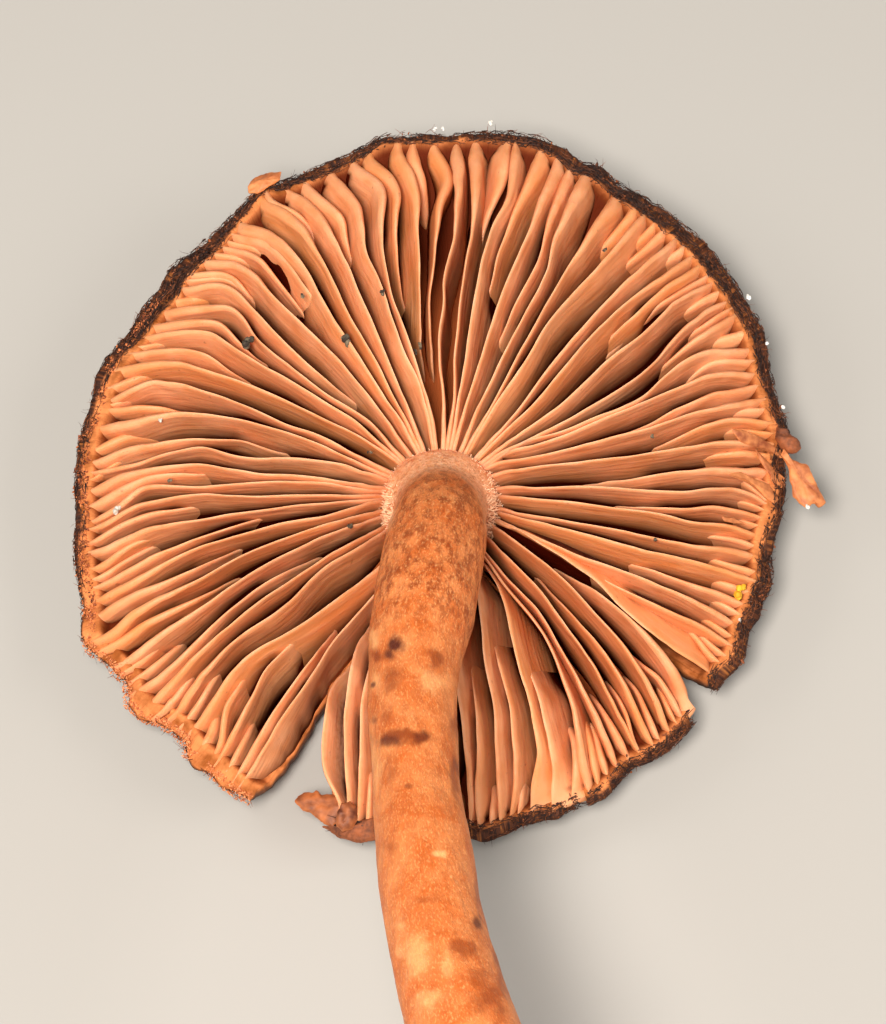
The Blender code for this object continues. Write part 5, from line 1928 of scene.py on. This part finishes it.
SOIL_GRAINS = (
    Grain((248, 341), (13, 13)), Grain((347, 340), (11, 17)), Grain((382, 292), (5, 8)),
    Grain((302, 295), (5, 6)), Grain((370, 453), (8, 4)), Grain((605, 250), (5, 4)),
    Grain((652, 436), (5, 4)), Grain((350, 526), (8, 6)), Grain((655, 540), (4, 4)),
    Grain((170, 480), (5, 4)), Grain((420, 345), (5, 10)), Grain((416, 352), (4, 8)),
)
PALE_GRAINS = (
    Grain((117, 509), (9, 9)), Grain((740, 620), (5, 4)), Grain((160, 420), (4, 4)),
    Grain((807, 506), (6, 5), 5.3),
)
YELLOW_SPECKS = (Grain((740, 590), (13, 20)),)
DROPLETS = (
    Grain((435, 128), (5, 5), 4.9), Grain((443, 128), (4, 4), 4.9), Grain((490, 122), (5, 6), 4.9),
    Grain((748, 296), (6, 6), 4.9), Grain((767, 343), (4, 4), 4.9, parts=1),
    Grain((783, 407), (4, 4), 4.9, parts=1),
)


@dataclass
class Studio:
    """The pale floor, the soft lights and the camera."""

    key_watts: float = 1.8
    fill_watts: float = 0.5
    world: float = 0.22
    lit_height: float = 0.008

    def floor(self):
        """Makes a plain pale floor at the height that the crown rests on."""
        bpy.ops.mesh.primitive_plane_add(size=3.0, location=(0, 0, 0))
        floor = bpy.context.object
        floor.name = "floor"
        made = bpy.data.materials.new("pale floor")
        made.use_nodes = True
        paint = {"Base Color": linear("#a9a7a3"), "Roughness": 0.85}
        give(made.node_tree, made.node_tree.nodes["Principled BSDF"], paint)
        floor.data.materials.append(made)

    def light(self, name: str, where, size: float, watts: float, colour: str):
        """Puts a square soft light at a place in metres, facing the cap."""
        data = bpy.data.lights.new(name, "AREA")
        data.size, data.energy, data.color = size, watts, linear(colour)[:3]
        self.placed(data, Vector(where), Vector((0, 0, self.lit_height)) - Vector(where))

    def placed(self, data, where: Vector, toward: Vector):
        """Puts a lamp or a camera at a place in metres, looking one way, and returns it."""
        made = bpy.data.objects.new(data.name, data)
        made.location = where
        made.rotation_euler = toward.to_track_quat("-Z", "Y").to_euler()
        bpy.context.scene.collection.objects.link(made)
        return made

    def camera(self):
        """Puts the camera where the view is tilted off the cap's axis, towards the stem's side."""
        height = math.radians(90 - VIEW_TILT_DEG - CAP_TILT_DEG)
        toward = Vector((0, -math.cos(height), math.sin(height)))
        up = Vector((0, math.sin(height), math.cos(height)))
        middle = lie_down() @ Vector((0, 0, SEEN_HEIGHT * MM))
        across, rise = PICTURE_MIDDLE_SEEN
        target = middle + Vector((across * MM, 0, 0)) + up * rise * MM
        data = bpy.data.cameras.new("camera")
        data.sensor_fit = "VERTICAL"
        data.sensor_height = SENSOR_MM
        data.lens = SENSOR_MM * VIEW_DISTANCE / VIEW_HEIGHT_MM
        data.clip_start = 0.01
        where = target + toward * VIEW_DISTANCE * MM
        bpy.context.scene.camera = self.placed(data, where, -toward)

    def build(self):
        """Makes the floor, the lights, the sky's even light and the camera."""
        self.floor()
        self.light("key", (-0.04, -0.15, 0.31), 0.09, self.key_watts, "#fff6ec")
        self.light("left fill", (-0.3, -0.02, 0.26), 0.2, self.fill_watts * 0.8, "#fffaf4")
        self.light("right fill", (0.28, -0.05, 0.24), 0.2, self.fill_watts, "#fffaf4")
        world = bpy.data.worlds.new("soft room")
        world.use_nodes = True
        sky = {"Color": linear("#f4f1ec"), "Strength": self.world}
        give(world.node_tree, world.node_tree.nodes["Background"], sky)
        bpy.context.scene.world = world
        bpy.context.scene.view_settings.view_transform = "Standard"
        self.camera()


def main():
    """Builds the mushroom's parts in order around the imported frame."""
    logging.basicConfig(level=logging.INFO, format="%(name)s %(message)s")
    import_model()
    CapBody().build()
    levels = (0.0, 0.2, 0.4, 0.55, 0.68, 0.78, 0.86, 0.92, 0.96, 1.0)
    Gills(GillKind.LONG, 84, levels).build()
    Gills(GillKind.SHORT, 44, levels[::2] + levels[-1:]).build()
    Stem().build()
    Felt().build()
    Scraps().build()
    Studio().build()


if __name__ == "__main__":
    main()
